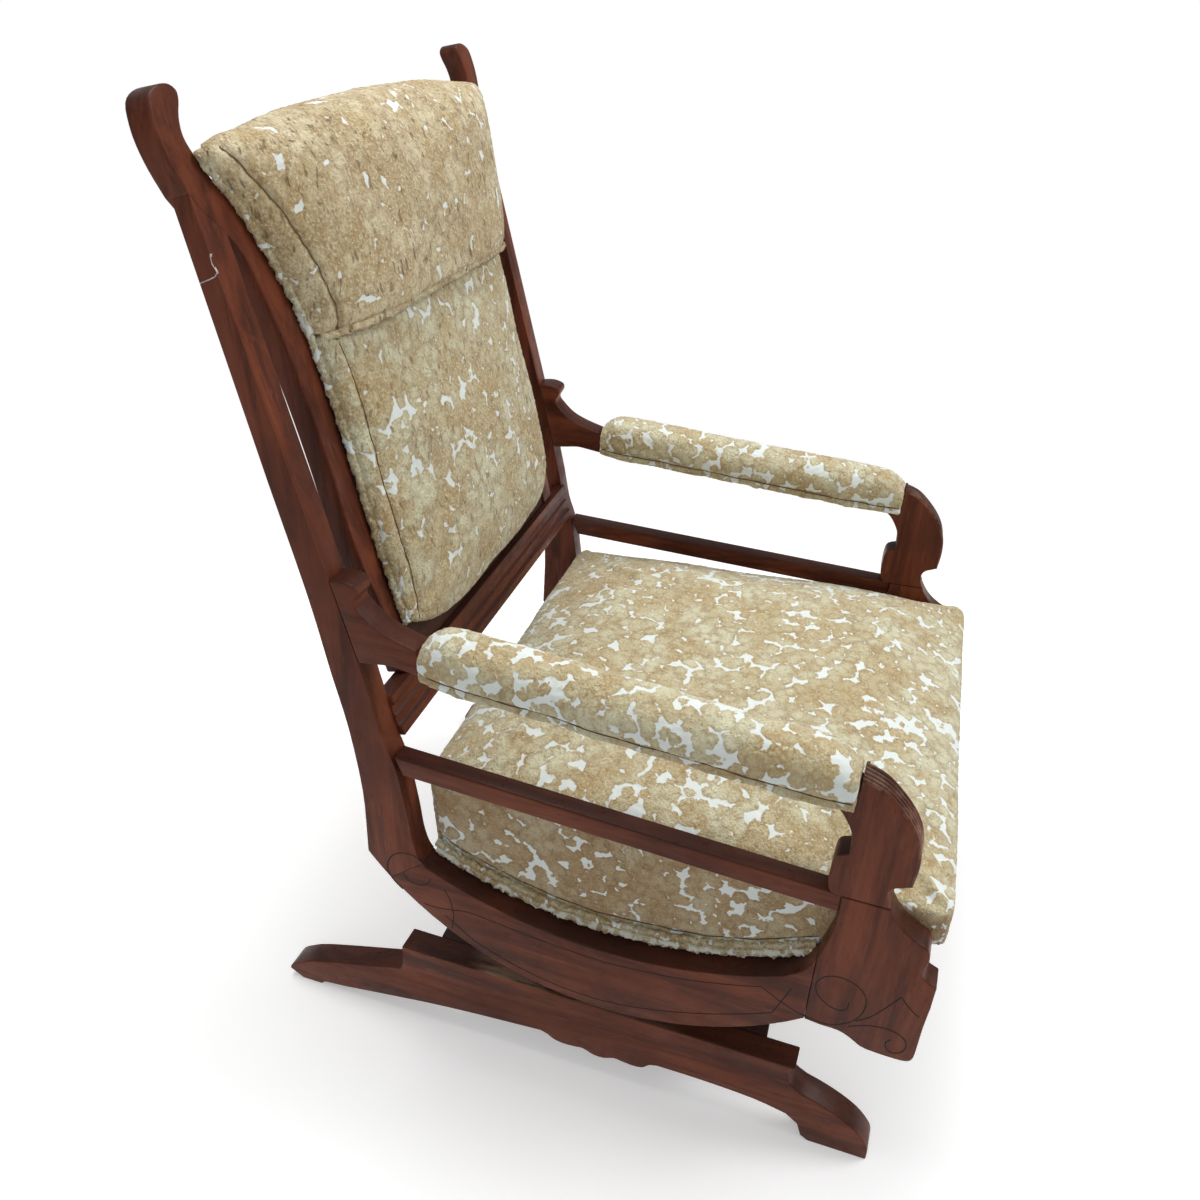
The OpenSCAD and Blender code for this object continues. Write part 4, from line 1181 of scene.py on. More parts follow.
@dataclass
class Platform:
    """The floor platform: two beams, two boards, spring brackets, coils and screws."""

    finishes: Finishes
    paths: PathTree
    coil_r: float = 0.013
    wire_r: float = 0.00225
    turns: int = 6
    coil_low: float = 0.0954
    coil_high: float = 0.1491
    coil_step: float = 0.044
    shelf_mid: float = 0.0527

    def build(self) -> None:
        """Builds and dresses every piece of the platform."""
        for side in Side:
            eased_board(f"platform_beam_{side.word}", self.finishes.beam, "platform", 0.0022)
            self.coils(side)
            self.bracket(f"lower_spring_bracket_{side.word}", "platform")
        for end in ("front", "rear"):
            eased_board(f"platform_{end}_board", self.finishes.hidden[Grain.ACROSS], "platform", 0.0012,
                        "frame_wood")
        dress("platform_screws", self.finishes.steel)

    def coils(self, side: Side) -> None:
        """Winds one side's two centring coils.

        Args:
            side: which side.
        """
        paths = []
        for k in (-1, 1):
            pts = []
            steps = self.turns * 28
            for i in range(steps + 1):
                t = i / steps
                a = 2 * math.pi * self.turns * t
                low, high = self.coil_low + self.wire_r, self.coil_high - self.wire_r
                rise = min(max((t - 0.09) / 0.82, 0.0), 1.0)
                z = low + (high - low) * (0.06 * t + 0.94 * rise)
                y = ROLL_Y + k * self.coil_step / 2 + self.coil_r * math.sin(a)
                pts.append(side_point(side, self.shelf_mid + self.coil_r * math.cos(a), y, z))
            paths.append(pts)
        mesh = self.paths.run(f"centring_coils_{side.word}", paths, self.wire_r, 10, self.finishes.steel)
        put(f"centring_coils_{side.word}", mesh, self.finishes.steel, "platform", WIRE_EDGE, "spring_steel",
            f"coil_springs_{side.word}")

    def bracket(self, node: str, body: str) -> None:
        """Dresses a pressed iron bracket.

        Args:
            node: its CAD node.
            body: the body that it rides on.
        """
        eased_board(node, self.finishes.iron, body, 0.0004, "bracket_iron", "_iron")


ARM_WOOD = 0.022
ARM_REAR = 0.2325 * SIDE_D
ARM_JOIN = -0.402 * SIDE_D
ARM_SHOULDER = -0.452 * SIDE_D


def arm_under(y: float) -> float:
    """Height of the wooden arm's underside at y of the side plane."""
    return BASE_Z + ARM_H * (0.871 + 0.057 * (y - ARM_JOIN) / (ARM_REAR - ARM_JOIN))


@dataclass
class SideFrames:
    """The two walnut side frames with their arms, scrolls and incised ornament."""

    finishes: Finishes
    paths: PathTree
    reeds: int = 5
    reed_depth: float = 0.0022
    columns: int = 50

    def build(self) -> None:
        """Builds and dresses both side frames."""
        walnut = self.finishes.walnut
        for side in Side:
            for part, grain, ease in (("runner", Grain.ALONG, 0.0020), ("rear_post", Grain.UPRIGHT, 0.0022),
                                      ("front_post", Grain.UPRIGHT, 0.0020), ("arm", Grain.ALONG, 0.0020),
                                      ("side_rail", Grain.ALONG, 0.0022)):
                eased_board(f"{part}_{side.word}", walnut[grain], "chair", ease)
            self.scroll(side)
            self.ornament(side)

    def outline(self) -> tuple[list[Vector], list[float]]:
        """The scroll's outline in the side plane, and how far each point is reeded.

        Returns:
            The points (0, y, z) and shares from 0 to 1.
        """
        def at(shares: Sequence[tuple[float, float]], lift: float = 0.0) -> list[Vector]:
            """A smooth line through shares of the side's depth and of the arm's height."""
            return smooth_path([(0, s * SIDE_D, BASE_Z + t * ARM_H + lift) for s, t in shares], 8)

        neck = at(((-0.533, 0.616), (-0.527, 0.638), (-0.525, 0.662), (-0.531, 0.677), (-0.544, 0.686),
                   (-0.555, 0.693)), 0.0002)
        face = at(((-0.555, 0.693), (-0.558, 0.743), (-0.555, 0.792), (-0.544, 0.836), (-0.522, 0.880),
                   (-0.487, 0.926), (-0.452, 0.946)))
        arch = at(((-0.402, 0.871), (-0.425, 0.858), (-0.442, 0.829), (-0.453, 0.794), (-0.456, 0.741)))
        nub = at(((-0.456, 0.741), (-0.439, 0.730), (-0.434, 0.704), (-0.434, 0.646), (-0.441, 0.620),
                  (-0.459, 0.616)), 0.0002)
        top = [Vector((0, y * SIDE_D, arm_under(y * SIDE_D) + ARM_WOOD)) for y in (-0.452, -0.402)]
        pts = neck[:-1] + face + top + arch[:-1] + nub
        n0, n1 = len(neck) - 1, len(neck) - 1 + len(face)
        reeded = []
        for i in range(len(pts)):
            if n0 <= i < n1:
                reeded.append(min(1.0, (i - n0) / 5))
            else:
                reeded.append(0.0)
        return pts, reeded

    def scroll(self, side: Side) -> None:
        """Carves one arm scroll with its reeds.

        Args:
            side: which side.
        """
        pts, reeded = self.outline()
        n = len(pts)
        verts: list[Vector] = []
        wear: list[float] = []
        for c in range(self.columns + 1):
            u = c / self.columns
            phase = (u * self.reeds) % 1.0
            hollow = 1.0 - math.sqrt(max(0.0, 1.0 - (2 * phase - 1) ** 2))
            rim = 1.0 - min(1.0, min(u, 1 - u) * SIDE_T / 0.0016)
            for i, p in enumerate(pts):
                along = (pts[(i + 1) % n] - pts[i - 1]).normalized()
                inward = Vector((0, along.z, -along.y))
                deep = self.reed_depth * hollow * reeded[i] + 0.0014 * rim**2
                q = p + inward * deep
                verts.append(side_point(side, u * SIDE_T, q.y, q.z))
                wear.append(max(rim, (1 - hollow) * reeded[i] * 0.8) if 0 < c < self.columns else 0.0)
        faces: list[Sequence[int]] = []
        for c in range(self.columns):
            for i in range(n):
                a, b = c * n + i, c * n + (i + 1) % n
                faces.append((a, b, b + n, a + n))
        for c in (0, self.columns):
            ring = verts[c * n:(c + 1) * n]
            faces += [tuple(c * n + k for k in tri) for tri in tessellate_polygon([ring])]
        mesh = bpy.data.meshes.new(f"arm_scroll_{side.word}_carved")
        mesh.from_pydata([tuple(v) for v in verts], [], [tuple(f) for f in faces])
        mesh.attributes.new("edge_wear", "FLOAT", "POINT").data.foreach_set("value", wear)
        outwards(mesh, merge=False)
        put(f"arm_scroll_{side.word}_carved", mesh, self.finishes.walnut[Grain.UPRIGHT], "chair",
            CARVED_EDGE, "walnut", f"arm_scroll_{side.word}")
        away = side_point(side, 0, 0, 0) - side_point(side, 1, 0, 0)
        for poly in mesh.polygons:
            if abs(poly.normal.dot(away)) > 0.9995:
                poly.use_smooth = False

    def ornament(self, side: Side) -> None:
        """Lays the incised lines on a side frame's outer face as thin dark tubes; the grooves are not cut,
        so the tubes' dark is the grooves' own dark together with their painted shade.

        Args:
            side: which side.
        """
        lines = [self.on_face(side, line) for line in self.drawing()]
        # Painted shade with the grooves' own dark: the incised lines are laid as dark tubes, not cut
        mesh = self.paths.run(f"incised_lines_{side.word}", lines, 0.0010, 8, self.finishes.groove_dark_and_shade)
        put(f"incised_lines_{side.word}", mesh, self.finishes.groove_dark_and_shade, "chair", WIRE_EDGE, "walnut")
        if side is Side.RIGHT:
            split = [(0.3112, 0.9325), (0.3118, 0.9310), (0.3112, 0.9247), (0.3077, 0.9183),
                     (0.3104, 0.9146), (0.3164, 0.9115), (0.3266, 0.9068)]
            mesh = self.paths.run("rear_post_crack", [self.on_face(side, split)], 0.0009, 6,
                                  self.finishes.crack)
            put("rear_post_crack", mesh, self.finishes.crack, "chair", WIRE_EDGE, "walnut")

    def on_face(self, side: Side, line: Sequence[Sequence[float]]) -> list[Vector]:
        """Puts a drawn line, in y and z, on the outer face of a side frame."""
        return [side_point(side, 0.0006, p[0], p[1]) for p in line]

    def drawing(self) -> list[list[tuple[float, float]]]:
        """The ornament's lines in the side plane: a long panel with crossed ends, and scrolls.

        Returns:
            Lines of (y, z) points, in metres.
        """
        drawn = (
            # The panel along the runner
            ((169, 217), (158, 216), (146, 217), (132, 220), (112, 224), (78, 220), (31, 214),
             (-16, 210), (-62, 209), (-107, 213), (-151, 220), (-193, 231), (-232, 244)),
            ((143, 207), (128, 195), (104, 176), (56, 156), (7, 144), (-41, 140), (-87, 145),
             (-133, 157), (-177, 173), (-219, 192), (-248, 208)),
            ((-232, 244), (-256, 229), (-279, 219), (-304, 215)),
            ((-248, 208), (-256, 232), (-263, 254)),
            ((142, 251), (139, 245), (135, 236), (133, 224), (132, 209), (135, 188)),
            # The scroll at the rear
            ((193, 259), (189, 251), (181, 247), (170, 247), (162, 253), (158, 262)),
            ((166, 283), (171, 288), (179, 292), (192, 291), (203, 284), (210, 273), (213, 260),
             (210, 248), (204, 239), (196, 231)),
            # The spiral and tendrils at the front
            ((-324, 258), (-323, 248), (-316, 243), (-306, 245), (-296, 252), (-289, 262), (-287, 274),
             (-292, 285), (-302, 292), (-314, 293), (-326, 289), (-336, 280), (-341, 267), (-340, 251),
             (-335, 237), (-326, 226), (-314, 218), (-304, 215)),
            ((-335, 234), (-347, 245), (-358, 262), (-367, 279), (-373, 290)),
            ((-373, 290), (-381, 280), (-389, 272), (-395, 268)),
            ((-329, 222), (-345, 231), (-359, 235), (-375, 235), (-387, 228), (-391, 217), (-388, 206),
             (-380, 201), (-373, 204), (-370, 213), (-374, 221)),
        )
        return [[(p.y, p.z) for p in smooth_path([(0, y / 1000, z / 1000) for y, z in line], 5)]
                for line in drawn]


@dataclass
class BackFrame:
    """The curved stiles with ears, and the rails of the back."""

    finishes: Finishes

    def build(self) -> None:
        """Builds and dresses the back's wood."""
        for side in Side:
            eased_board(f"back_stile_{side.word}", self.finishes.walnut[Grain.UPRIGHT], "chair", 0.0024)
        eased_board("moulded_back_rail", self.finishes.walnut[Grain.ACROSS], "chair", 0.0010)
        for node in ("back_top_rail", "back_bottom_rail"):
            eased_board(node, self.finishes.hidden[Grain.ACROSS], "chair", 0.0010, "frame_wood")


def clear_widths() -> tuple[list[float], list[float]]:
    """Half of the clear width between the curved stiles, met by rays on their CAD solid.

    Returns:
        Places up the back, and the half width at each.
    """
    tree = surface(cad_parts["back_stile_left"].data)
    places, halves = [], []
    for k in range(160):
        v = 0.004 * k
        hit = tree.ray_cast(back_point(0, v, -0.004), Vector((1, 0, 0)))
        if hit[0] is not None:
            places.append(v)
            halves.append(hit[0].x)
    return places, halves


CLEAR_V, CLEAR_X = clear_widths()


def back_half(v: float) -> float:
    """Half of the clear width between the curved stiles, v up the back."""
    return float(np.interp(v, CLEAR_V, CLEAR_X))


def in_back(p: Vector) -> tuple[float, float, float]:
    """The reverse of back_point: x, v and w of a point."""
    c, s = math.cos(LEAN), math.sin(LEAN)
    dy, dz = p.y - BACK_Y - SHIFT, p.z - BACK_Z
    return p.x, dy * s + dz * c, -dy * c + dz * s


def dome(s: float, t: float, power: float) -> float:
    """Height from 0 to 1 of a stuffed panel at s = -1..1 and t = 0..1."""
    return math.sqrt(max(0.0, 1 - abs(s) ** power)) * math.sqrt(max(0.0, 1 - abs(2 * t - 1) ** power))


@dataclass
class BackPads:
    """The lower back pad and the headrest, one cover sewn across, and the outside back."""

    finishes: Finishes
    paths: PathTree
    seam: float = 0.652 * BACK_L
    low: float = 0.112 * BACK_L
    high: float = 0.927 * BACK_L
    crown: float = 0.03 * BACK_L
    gap: float = 0.0008
    edge: float = 0.013
    lap: float = 0.0032
    corner: float = 0.010

    def build(self) -> None:
        """Builds the pads, their rolls and the outside back."""
        low = self.pad("back_pad", self.low, self.seam - 0.0004, crown=0.0, depth=0.046, power=4,
                       tuck=0.05 * BACK_L, sewn=(0.0, 0.026), cap=0.012, seed=3.0)
        high = self.pad("headrest_pad", self.seam, self.high, crown=self.crown, depth=0.068, power=3,
                        tuck=0.0, sewn=(0.040, 0.0), cap=0.014, seed=9.0)
        self.rolls()
        self.outside()
        log.info("back pads have %d and %d points", len(low.vertices), len(high.vertices))

    def grid(self, v0: float, v1: float, crown: float, depth: float, power: float, tuck: float,
             sewn: tuple[float, float]) -> tuple[list[list[Vector]], list[list[Vector]]]:
        """Front and back points of a pad before it swells.

        Args:
            v0: its lower edge.
            v1: its upper edge.
            crown: how far the upper edge rises in the middle.
            depth: its thickness in front of the stiles.
            power: how square its dome is.
            tuck: how far its lower corners are drawn up.
            sewn: height of its lower and its upper edge above the edge roll, where it meets the other pad.

        Returns:
            The two grids.
        """
        def place(s: float, t: float) -> tuple[Vector, Vector]:
            """The front and back points at s across and t up.

            Args:
                s: share across, -1 to 1.
                t: share of the height.

            Returns:
                The two points.
            """
            lo = v0 + tuck * abs(s) ** 5
            corner = min(1.0, max(0.0, (abs(s) - 0.92) / 0.08)) ** 2
            hi = v1 + crown * (1 - s * s) - (self.corner * corner if crown else 0.0)
            v = lo + (hi - lo) * t
            wide = back_half(v) - self.gap
            rise = max(sewn[0] * (1 - t) ** 1.5, sewn[1] * t**3) * (1 - abs(s) ** 6)
            full = (depth - self.edge - rise - 0.004) * dome(s, t, power) * (1 - 0.30 * abs(s) ** 8)
            w = self.edge + rise + full
            return back_point(s * (wide + self.lap), v, w), back_point(s * wide, v, -0.0022)

        return paired_grids(34, 44, place)

    def pad(self, node: str, v0: float, v1: float, crown: float, depth: float, power: float, tuck: float,
            sewn: tuple[float, float], cap: float, seed: float) -> Mesh:
        """Stuffs one pad, draws in its side seams and lays a painted shadow line in them.

        Args:
            node: the CAD node that it replaces.
            v0: its lower edge.
            v1: its upper edge.
            crown: how far the upper edge rises in the middle.
            depth: its thickness in front of the stiles.
            power: how square its dome is.
            tuck: how far its lower corners are drawn up.
            sewn: height of its lower and its upper edge where it meets the other pad.
            cap: how far the stuffing may push.
            seed: where its unevenness starts.

        Returns:
            The pad's mesh.
        """
        front, back = self.grid(v0, v1, crown, depth, power, tuck, sewn)

        def keep(p: Vector) -> Vector:
            """Moves a point back between the stiles and the pad's ends.

            Args:
                p: the point.

            Returns:
                Where it may be.
            """
            x, v, w = in_back(p)
            wide = back_half(v) - self.gap + self.lap * max(0.0, min(1.0, (w - 0.0015) / 0.006))
            s = max(-1.0, min(1.0, x / wide))
            v = max(v0 + tuck * abs(s) ** 5, min(v, v1 + crown * (1 - s * s)))
            return back_point(max(-wide, min(wide, x)), v, max(-0.0028, w))

        def hold(p: Vector) -> float:
            """Holds the back and the sewn edges.

            Args:
                p: the point.

            Returns:
                1 where it is held, otherwise 0.
            """
            x, v, w = in_back(p)
            s = min(1.0, abs(x) / back_half(v))
            side = back_half(v) - abs(x)
            ends = min(v - v0 - tuck * s**5, v1 + crown * (1 - s * s) - v)
            return 1.0 if w < 0.0 or (min(side, ends) < 0.006) else 0.0

        form = sheet_block(node + "_form", front, back)
        mesh = Stuffing(voxel=0.0048, cap=cap).swell(node, form, hold, keep)
        tree = surface(mesh)
        way = back_point(0, 0, -1) - back_point(0, 0, 0)
        seams = []
        for sgn in (-1, 1):
            line = []
            for i in range(61):
                v = v0 + tuck * 0.8 + 0.002 + (v1 - v0 - tuck * 0.8 - 0.006) * i / 60
                line.append(back_point(sgn * (back_half(v) - 0.0125), v, 0.15))
            seams.append(laid(tree, line, way))
        press(mesh, seams, width=0.0065, depth=0.0034)
        ruffle(mesh, size=0.0022, scale=16, seed=seed)
        ruffle(mesh, size=0.0009, scale=NAP_SCALE, seed=seed)
        cloth = self.finishes.head_velvet if node == "headrest_pad" else self.finishes.back_velvet
        put(node + "_velvet", mesh, cloth, "chair", CLOTH_EDGE, "velvet", node)
        seam_shadow_line(self.paths, node + "_seam", mesh, seams, self.finishes.seam)
        return mesh

    def rolls(self) -> None:
        """Lays the furry rolls: up both sides of the back, and along the seam under the headrest."""
        edges = []
        for sgn in (-1, 1):
            line = []
            for i in range(101):
                v = self.low + 0.030 + (self.high - 0.004 - self.low - 0.030) * i / 100
                line.append(back_point(sgn * (back_half(v) + 0.0010), v, 0.0052))
            edges.append(line)
        furry_roll(self.paths, "back_edge_roll", edges, 0.0044, self.finishes.back_velvet)
        seam = []
        for i in range(61):
            s = 2 * i / 60 - 1
            w = self.edge + 0.0350 * (1 - abs(s) ** 10)
            seam.append(back_point(s * (back_half(self.seam) - 0.004), self.seam - 0.0015, w))
        furry_roll(self.paths, "headrest_seam_roll", [seam], 0.0040, self.finishes.head_velvet)

    def outside(self) -> None:
        """Stretches the cover over the rear of the back."""
        v0, v1 = 0.082 * BACK_L, 0.872 * BACK_L

        def place(s: float, t: float) -> tuple[Vector, Vector]:
            """The inner and outer points at s across and t up.

            Args:
                s: share across, -1 to 1.
                t: share of the height.

            Returns:
                The two points.
            """
            v = v0 + (v1 - v0) * t
            wide = back_half(v) + 0.010
            edge = min(1.0, (1 - abs(s)) * wide / 0.006, min(v - v0, v1 - v) / 0.006)
            puff = math.sqrt(max(0.0, edge * (2 - edge)))
            return back_point(s * wide, v, -0.0243), back_point(s * wide, v, -0.0249 - 0.0022 * puff)

        mesh = sheet_block("outside_back_cover", *paired_grids(40, 24, place))
        cover = put("outside_back_cover", mesh, self.finishes.back_velvet, "chair", WIRE_EDGE, "velvet",
                    "outside_back")


@dataclass
class ArmPads:
    """The stuffed caps on the two arms."""

    finishes: Finishes
    paths: PathTree
    width: float = 0.064
    height: float = 0.036
    wood: float = ARM_WOOD
    rear: float = ARM_REAR
    front: float = ARM_SHOULDER + 0.0004
    gap: float = 0.0005

    def build(self) -> None:
        """Builds both pads."""
        for side in Side:
            self.pad(side)

    def ring(self, side: Side, y: float, t: float, inset: float) -> list[Vector]:
        """One section of a pad, an upturned U over the wood.

        Args:
            side: which side.
            y: place along the arm.
            t: share of the pad's length.
            inset: how much smaller it starts.

        Returns:
            The section's points.
        """
        z0 = arm_under(y)
        fill = max(0.50, math.sqrt(max(0.0, 1 - abs(2 * t - 1) ** 16)))
        c, g = SIDE_T / 2, SIDE_T / 2 + self.gap
        zt = z0 + self.wood + self.gap
        top = zt + (self.height - inset) * fill
        hw = g + (self.width / 2 - inset - g) * max(fill, 0.70)
        pts = [(c - g, z0), (c - hw * 0.97, z0), (c - hw, z0 + 0.25 * (top - z0))]
        for k in range(21):
            a = math.pi * (1 - k / 20)
            sx, sz = math.cos(a), math.sin(a)
            z = z0 + (0.42 + 0.58 * abs(sz) ** 0.8) * (top - z0)
            pts.append((c + hw * math.copysign(abs(sx) ** 0.8, sx), z))
        pts += [(c + hw, z0 + 0.25 * (top - z0)), (c + hw * 0.97, z0), (c + g, z0), (c + g, zt), (c - g, zt)]
        return [side_point(side, x, y, z) for x, z in pts]

    def pad(self, side: Side) -> None:
        """Stuffs one arm pad, presses a seam along both of its sides and lays a painted shadow line in each.

        Args:
            side: which side.
        """
        node = f"arm_pad_{side.word}"
        rows = 60
        y0, y1 = self.rear - 0.001, self.front + 0.001
        rings = [self.ring(side, y0 + (y1 - y0) * i / rows, i / rows, 0.003) for i in range(rows + 1)]
        c, s = math.cos(SPLAY), math.sin(SPLAY)

        def local(p: Vector) -> tuple[float, float]:
            """The reverse of side_point: x and y in the side's own plane.

            Args:
                p: the point.

            Returns:
                x and y.
            """
            px = (p.x if side is Side.RIGHT else -p.x) + HALF_W
            py = p.y - SHIFT
            return px * c - py * s, px * s + py * c

        def hold(p: Vector) -> float:
            """Holds the cloth that lies on the wood and the pad's underside.

            Args:
                p: the point.

            Returns:
                1 where it is held, otherwise 0.
            """
            x, y = local(p)
            inner = abs(x - SIDE_T / 2) < SIDE_T / 2 + 0.004 and p.z < arm_under(y) + self.wood + 0.004
            return 1.0 if inner or p.z < arm_under(y) + 0.003 else 0.0

        def keep(p: Vector) -> Vector:
            """Moves a point out of the wood and back within the pad's reach.

            Args:
                p: the point.

            Returns:
                Where it may be.
            """
            x, y = local(p)
            y = max(self.front, min(self.rear - 0.0002, y))
            z = max(p.z, arm_under(y) - 0.0004)
            d = x - SIDE_T / 2
            g = SIDE_T / 2 + self.gap
            if abs(d) < g and z < arm_under(y) + self.wood + self.gap:
                if arm_under(y) + self.wood + self.gap - z < g - abs(d):
                    z = arm_under(y) + self.wood + self.gap
                else:
                    d = math.copysign(g, d)
            d = max(-0.036, min(0.036, d))
            return side_point(side, d + SIDE_T / 2, y, z)

        form = loft(rings, node + "_form")
        mesh = Stuffing(voxel=0.0042, cap=0.007).swell(node, form, hold, keep)
        tree = surface(mesh)
        along = [self.rear - 0.003 + (self.front + 0.006 - self.rear) * i / 60 for i in range(61)]
        seams = []
        for d in (-1, 1):
            way = side_point(side, -d, 0, 0) - side_point(side, 0, 0, 0)
            line = [side_point(side, SIDE_T / 2 + d * 0.08, y, arm_under(y) + 0.0105) for y in along]
            seams.append(laid(tree, line, way))
        press(mesh, seams, width=0.0065, depth=0.0036)
        ruffle(mesh, size=0.0016, scale=26, seed=4.0 + side.value)
        ruffle(mesh, size=0.0008, scale=NAP_SCALE, seed=2.0)
        cover = put(node + "_velvet", mesh, self.finishes.arm_velvet, "chair", CLOTH_EDGE, "velvet", node)
        seam_shadow_line(self.paths, node + "_seam", mesh, seams, self.finishes.seam)


@dataclass
class Seat:
    """The sprung seat: stuffed cover, trim, frame, webbing, springs and dust cover."""

    finishes: Finishes
    paths: PathTree
    tacks: TackTree
    front: float = -0.408 + SHIFT
    rear: float = 0.165 + SHIFT
    seam_z: float = 0.398
    edge_z: float = 0.338
    crown: float = 0.034
    depth: float = SIDE_T + 0.0006
    overhang: float = 0.009
    spring_turns: int = 5
    spring_waist: float = 0.019
    spring_flare: float = 0.008
    spring_wire: float = 0.002

    def bottom(self, y: float) -> float:
        """Height of the seat's underside at y of the chair's frame."""
        return min(self.edge_z, runner_top(y - SHIFT) - 0.030)

    def build(self) -> None:
        """Builds the seat."""
        self.cover()
        self.frame_wood()
        dress("seat_webbing", self.finishes.jute)
        self.springs()
        self.dust()

    def cover(self) -> None:
        """Stuffs the seat's cover, presses in its side seams with a painted shadow line in each, and lays
        the fringe and the roll below them.
        """
        def place(s: float, t: float) -> tuple[Vector, Vector]:
            """The points of the seat's top and underside at s across and t to the rear.

            Args:
                s: share across, -1 to 1.
                t: share of the depth.

            Returns:
                The two points.
            """
            y = self.front + 0.001 + (self.rear + self.overhang - self.front - 0.002) * t
            yl = self.front + 0.001 + (self.rear - self.front - 0.001) * t
            near = min((1 - abs(s)) * half_in(y, self.depth), y - self.front, self.rear + self.overhang - y)
            lip = 0.017 * (1 - math.sqrt(max(0.0, 1 - max(0.0, 1 - near / 0.024) ** 2)))
            z = self.seam_z + 0.001 - lip + (self.crown - 0.008) * dome(s, t, 2.6)
            low = self.rounded(s, yl, self.rear, 0.014)
            return (Vector((*self.rounded(s, y, self.rear + self.overhang, 0.020), z)),
                    Vector((*low, self.bottom(yl) + 0.001)))

        def keep(p: Vector) -> Vector:
            """Moves a point back between the side frames and over the seat's underside.

            Args:
                p: the point.

            Returns:
                Where it may be.
            """
            wide = half_in(p.y, self.depth)
            y = max(self.front - 0.004, min(self.rear + self.overhang + 0.001, p.y))
            z = max(p.z, self.bottom(y))
            return Vector((max(-wide, min(wide, p.x)), y, min(z, 0.446)))

        def hold(p: Vector) -> float:
            """Holds the walls below the seam and the underside.

            Args:
                p: the point.

            Returns:
                1 where it is held, otherwise 0.
            """
            wall = min(half_in(p.y, self.depth) - abs(p.x), p.y - self.front,
                       self.rear + self.overhang - p.y)
            held = wall < 0.012 and p.z < self.seam_z - 0.010
            return 1.0 if held or p.z < self.bottom(p.y) + 0.012 else 0.0

        form = sheet_block("seat_form", *paired_grids(50, 50, place))
        mesh = Stuffing(voxel=0.0060, cap=0.011).swell("seat_cover", form, hold, keep)
        tree = surface(mesh)
        seams = []
        for sgn in (-1, 1):
            line = [Vector((sgn * 0.45, y, runner_top(y - SHIFT) + 0.024)) for y in self.along()]
            seams.append(laid(tree, line, Vector((-sgn, 0, 0))))
        press(mesh, seams, width=0.009, depth=0.0065)
        ruffle(mesh, size=0.0030, scale=9, seed=1.0)
        ruffle(mesh, size=0.0009, scale=NAP_SCALE, seed=6.0)
        self.tidy(mesh)
        cover = put("seat_velvet", mesh, self.finishes.velvet, "chair", CLOTH_EDGE, "velvet",
                    "seat_cushion", "seat_skirt")
        seam_shadow_line(self.paths, "seat_side_seams", mesh, seams, self.finishes.seam)
        rolls = (("lower", 0.0072, -0.0004, 0.0058, self.finishes.fringe_velvet),
                 ("upper", 0.0166, -0.0006, 0.0046, self.finishes.roll_velvet))
        for word, rise, out, radius, cloth in rolls:
            lines = [[Vector((sgn * (half_in(y, SIDE_T) + out), y, runner_top(y - SHIFT) + rise))
                      for y in self.along()] for sgn in (-1, 1)]
            furry_roll(self.paths, f"seat_{word}_roll", lines, radius, cloth)

    def rounded(self, s: float, y: float, rear: float, r: float) -> tuple[float, float]:
        """A place on the seat's plan, with its corners rounded.

        Args:
            s: share across, -1 to 1.
            y: place from front to rear.
            rear: the plan's rear edge.
            r: the corners' radius.

        Returns:
            x and y.
        """
        wide = half_in(y, self.depth) - 0.0008
        cx = 1 - (1 - abs(s)) * wide / r
        cy = 1 - min(y - self.front, rear - y) / r
        if cx <= 0 or cy <= 0 or math.hypot(cx, cy) <= 1:
            return s * wide, y
        q = max(cx, cy) / math.hypot(cx, cy)
        nx, ny = (1 - cx * q) * r, (1 - cy * q) * r
        x = math.copysign(wide - nx, s)
        return x, (self.front + ny if y - self.front < rear - y else rear - ny)

    def along(self) -> list[float]:
        """Places along the seat's sides where the trim runs."""
        first, last = self.front + 0.128, self.rear - 0.004
        return [first + (last - first) * i / 80 for i in range(81)]

    def tidy(self, mesh: Mesh) -> None:
        """Keeps a seat mesh clear of the side frames."""
        for v in mesh.vertices:
            wide = half_in(v.co.y, self.depth - 0.0002)
            v.co.x = max(-wide, min(wide, v.co.x))
        mesh.update()

    def frame_wood(self) -> None:
        """Dresses the seat's rails."""
        for node in ("seat_front_rail", "seat_rear_rail", "seat_side_rail_right", "seat_side_rail_left"):
            grain = Grain.ALONG if "side" in node else Grain.ACROSS
            eased_board(node, self.finishes.hidden[grain], "chair", 0.0010, "frame_wood")

    def springs(self) -> None:
        """Winds the six waisted seat springs."""
        paths = []
        for share in (-0.33, -0.03):
            for k in (-1, 0, 1):
                x0, y0 = k * 0.31 * 0.630 * 0.6, share * SIDE_D + SHIFT
                low = max(self.bottom(y0 - 0.027), self.bottom(y0 + 0.027)) + 0.004
                high = self.seam_z - 0.0344
                pts = []
                wire, steps = self.spring_wire, self.spring_turns * 20
                for i in range(steps + 1):
                    t = i / steps
                    r = self.spring_waist + self.spring_flare * (2 * t - 1) ** 2
                    a = 2 * math.pi * self.spring_turns * t
                    z = low + wire + (high - low - 2 * wire) * t
                    pts.append(Vector((x0 + r * math.cos(a), y0 + r * math.sin(a), z)))
                paths.append(pts)
        mesh = self.paths.run("seat_spring_coils", paths, self.spring_wire, 6, self.finishes.steel)
        put("seat_spring_coils", mesh, self.finishes.steel, "chair", WIRE_EDGE, "spring_steel",
            "seat_springs")

    def dust(self) -> None:
        """Stretches the dust cover under the seat and tacks it."""
        y0, y1 = self.front + 0.020, self.rear - 0.012

        def place(s: float, t: float) -> tuple[Vector, Vector]:
            """The cloth's upper and lower face at s across and t to the rear.

            Args:
                s: share across, -1 to 1.
                t: share of the depth.

            Returns:
                The two points.
            """
            y = y0 + (y1 - y0) * t
            x, z = s * half_in(y, SIDE_T + 0.006), self.bottom(y) - 0.0026
            return Vector((x, y, z)), Vector((x, y, z - 0.0012))

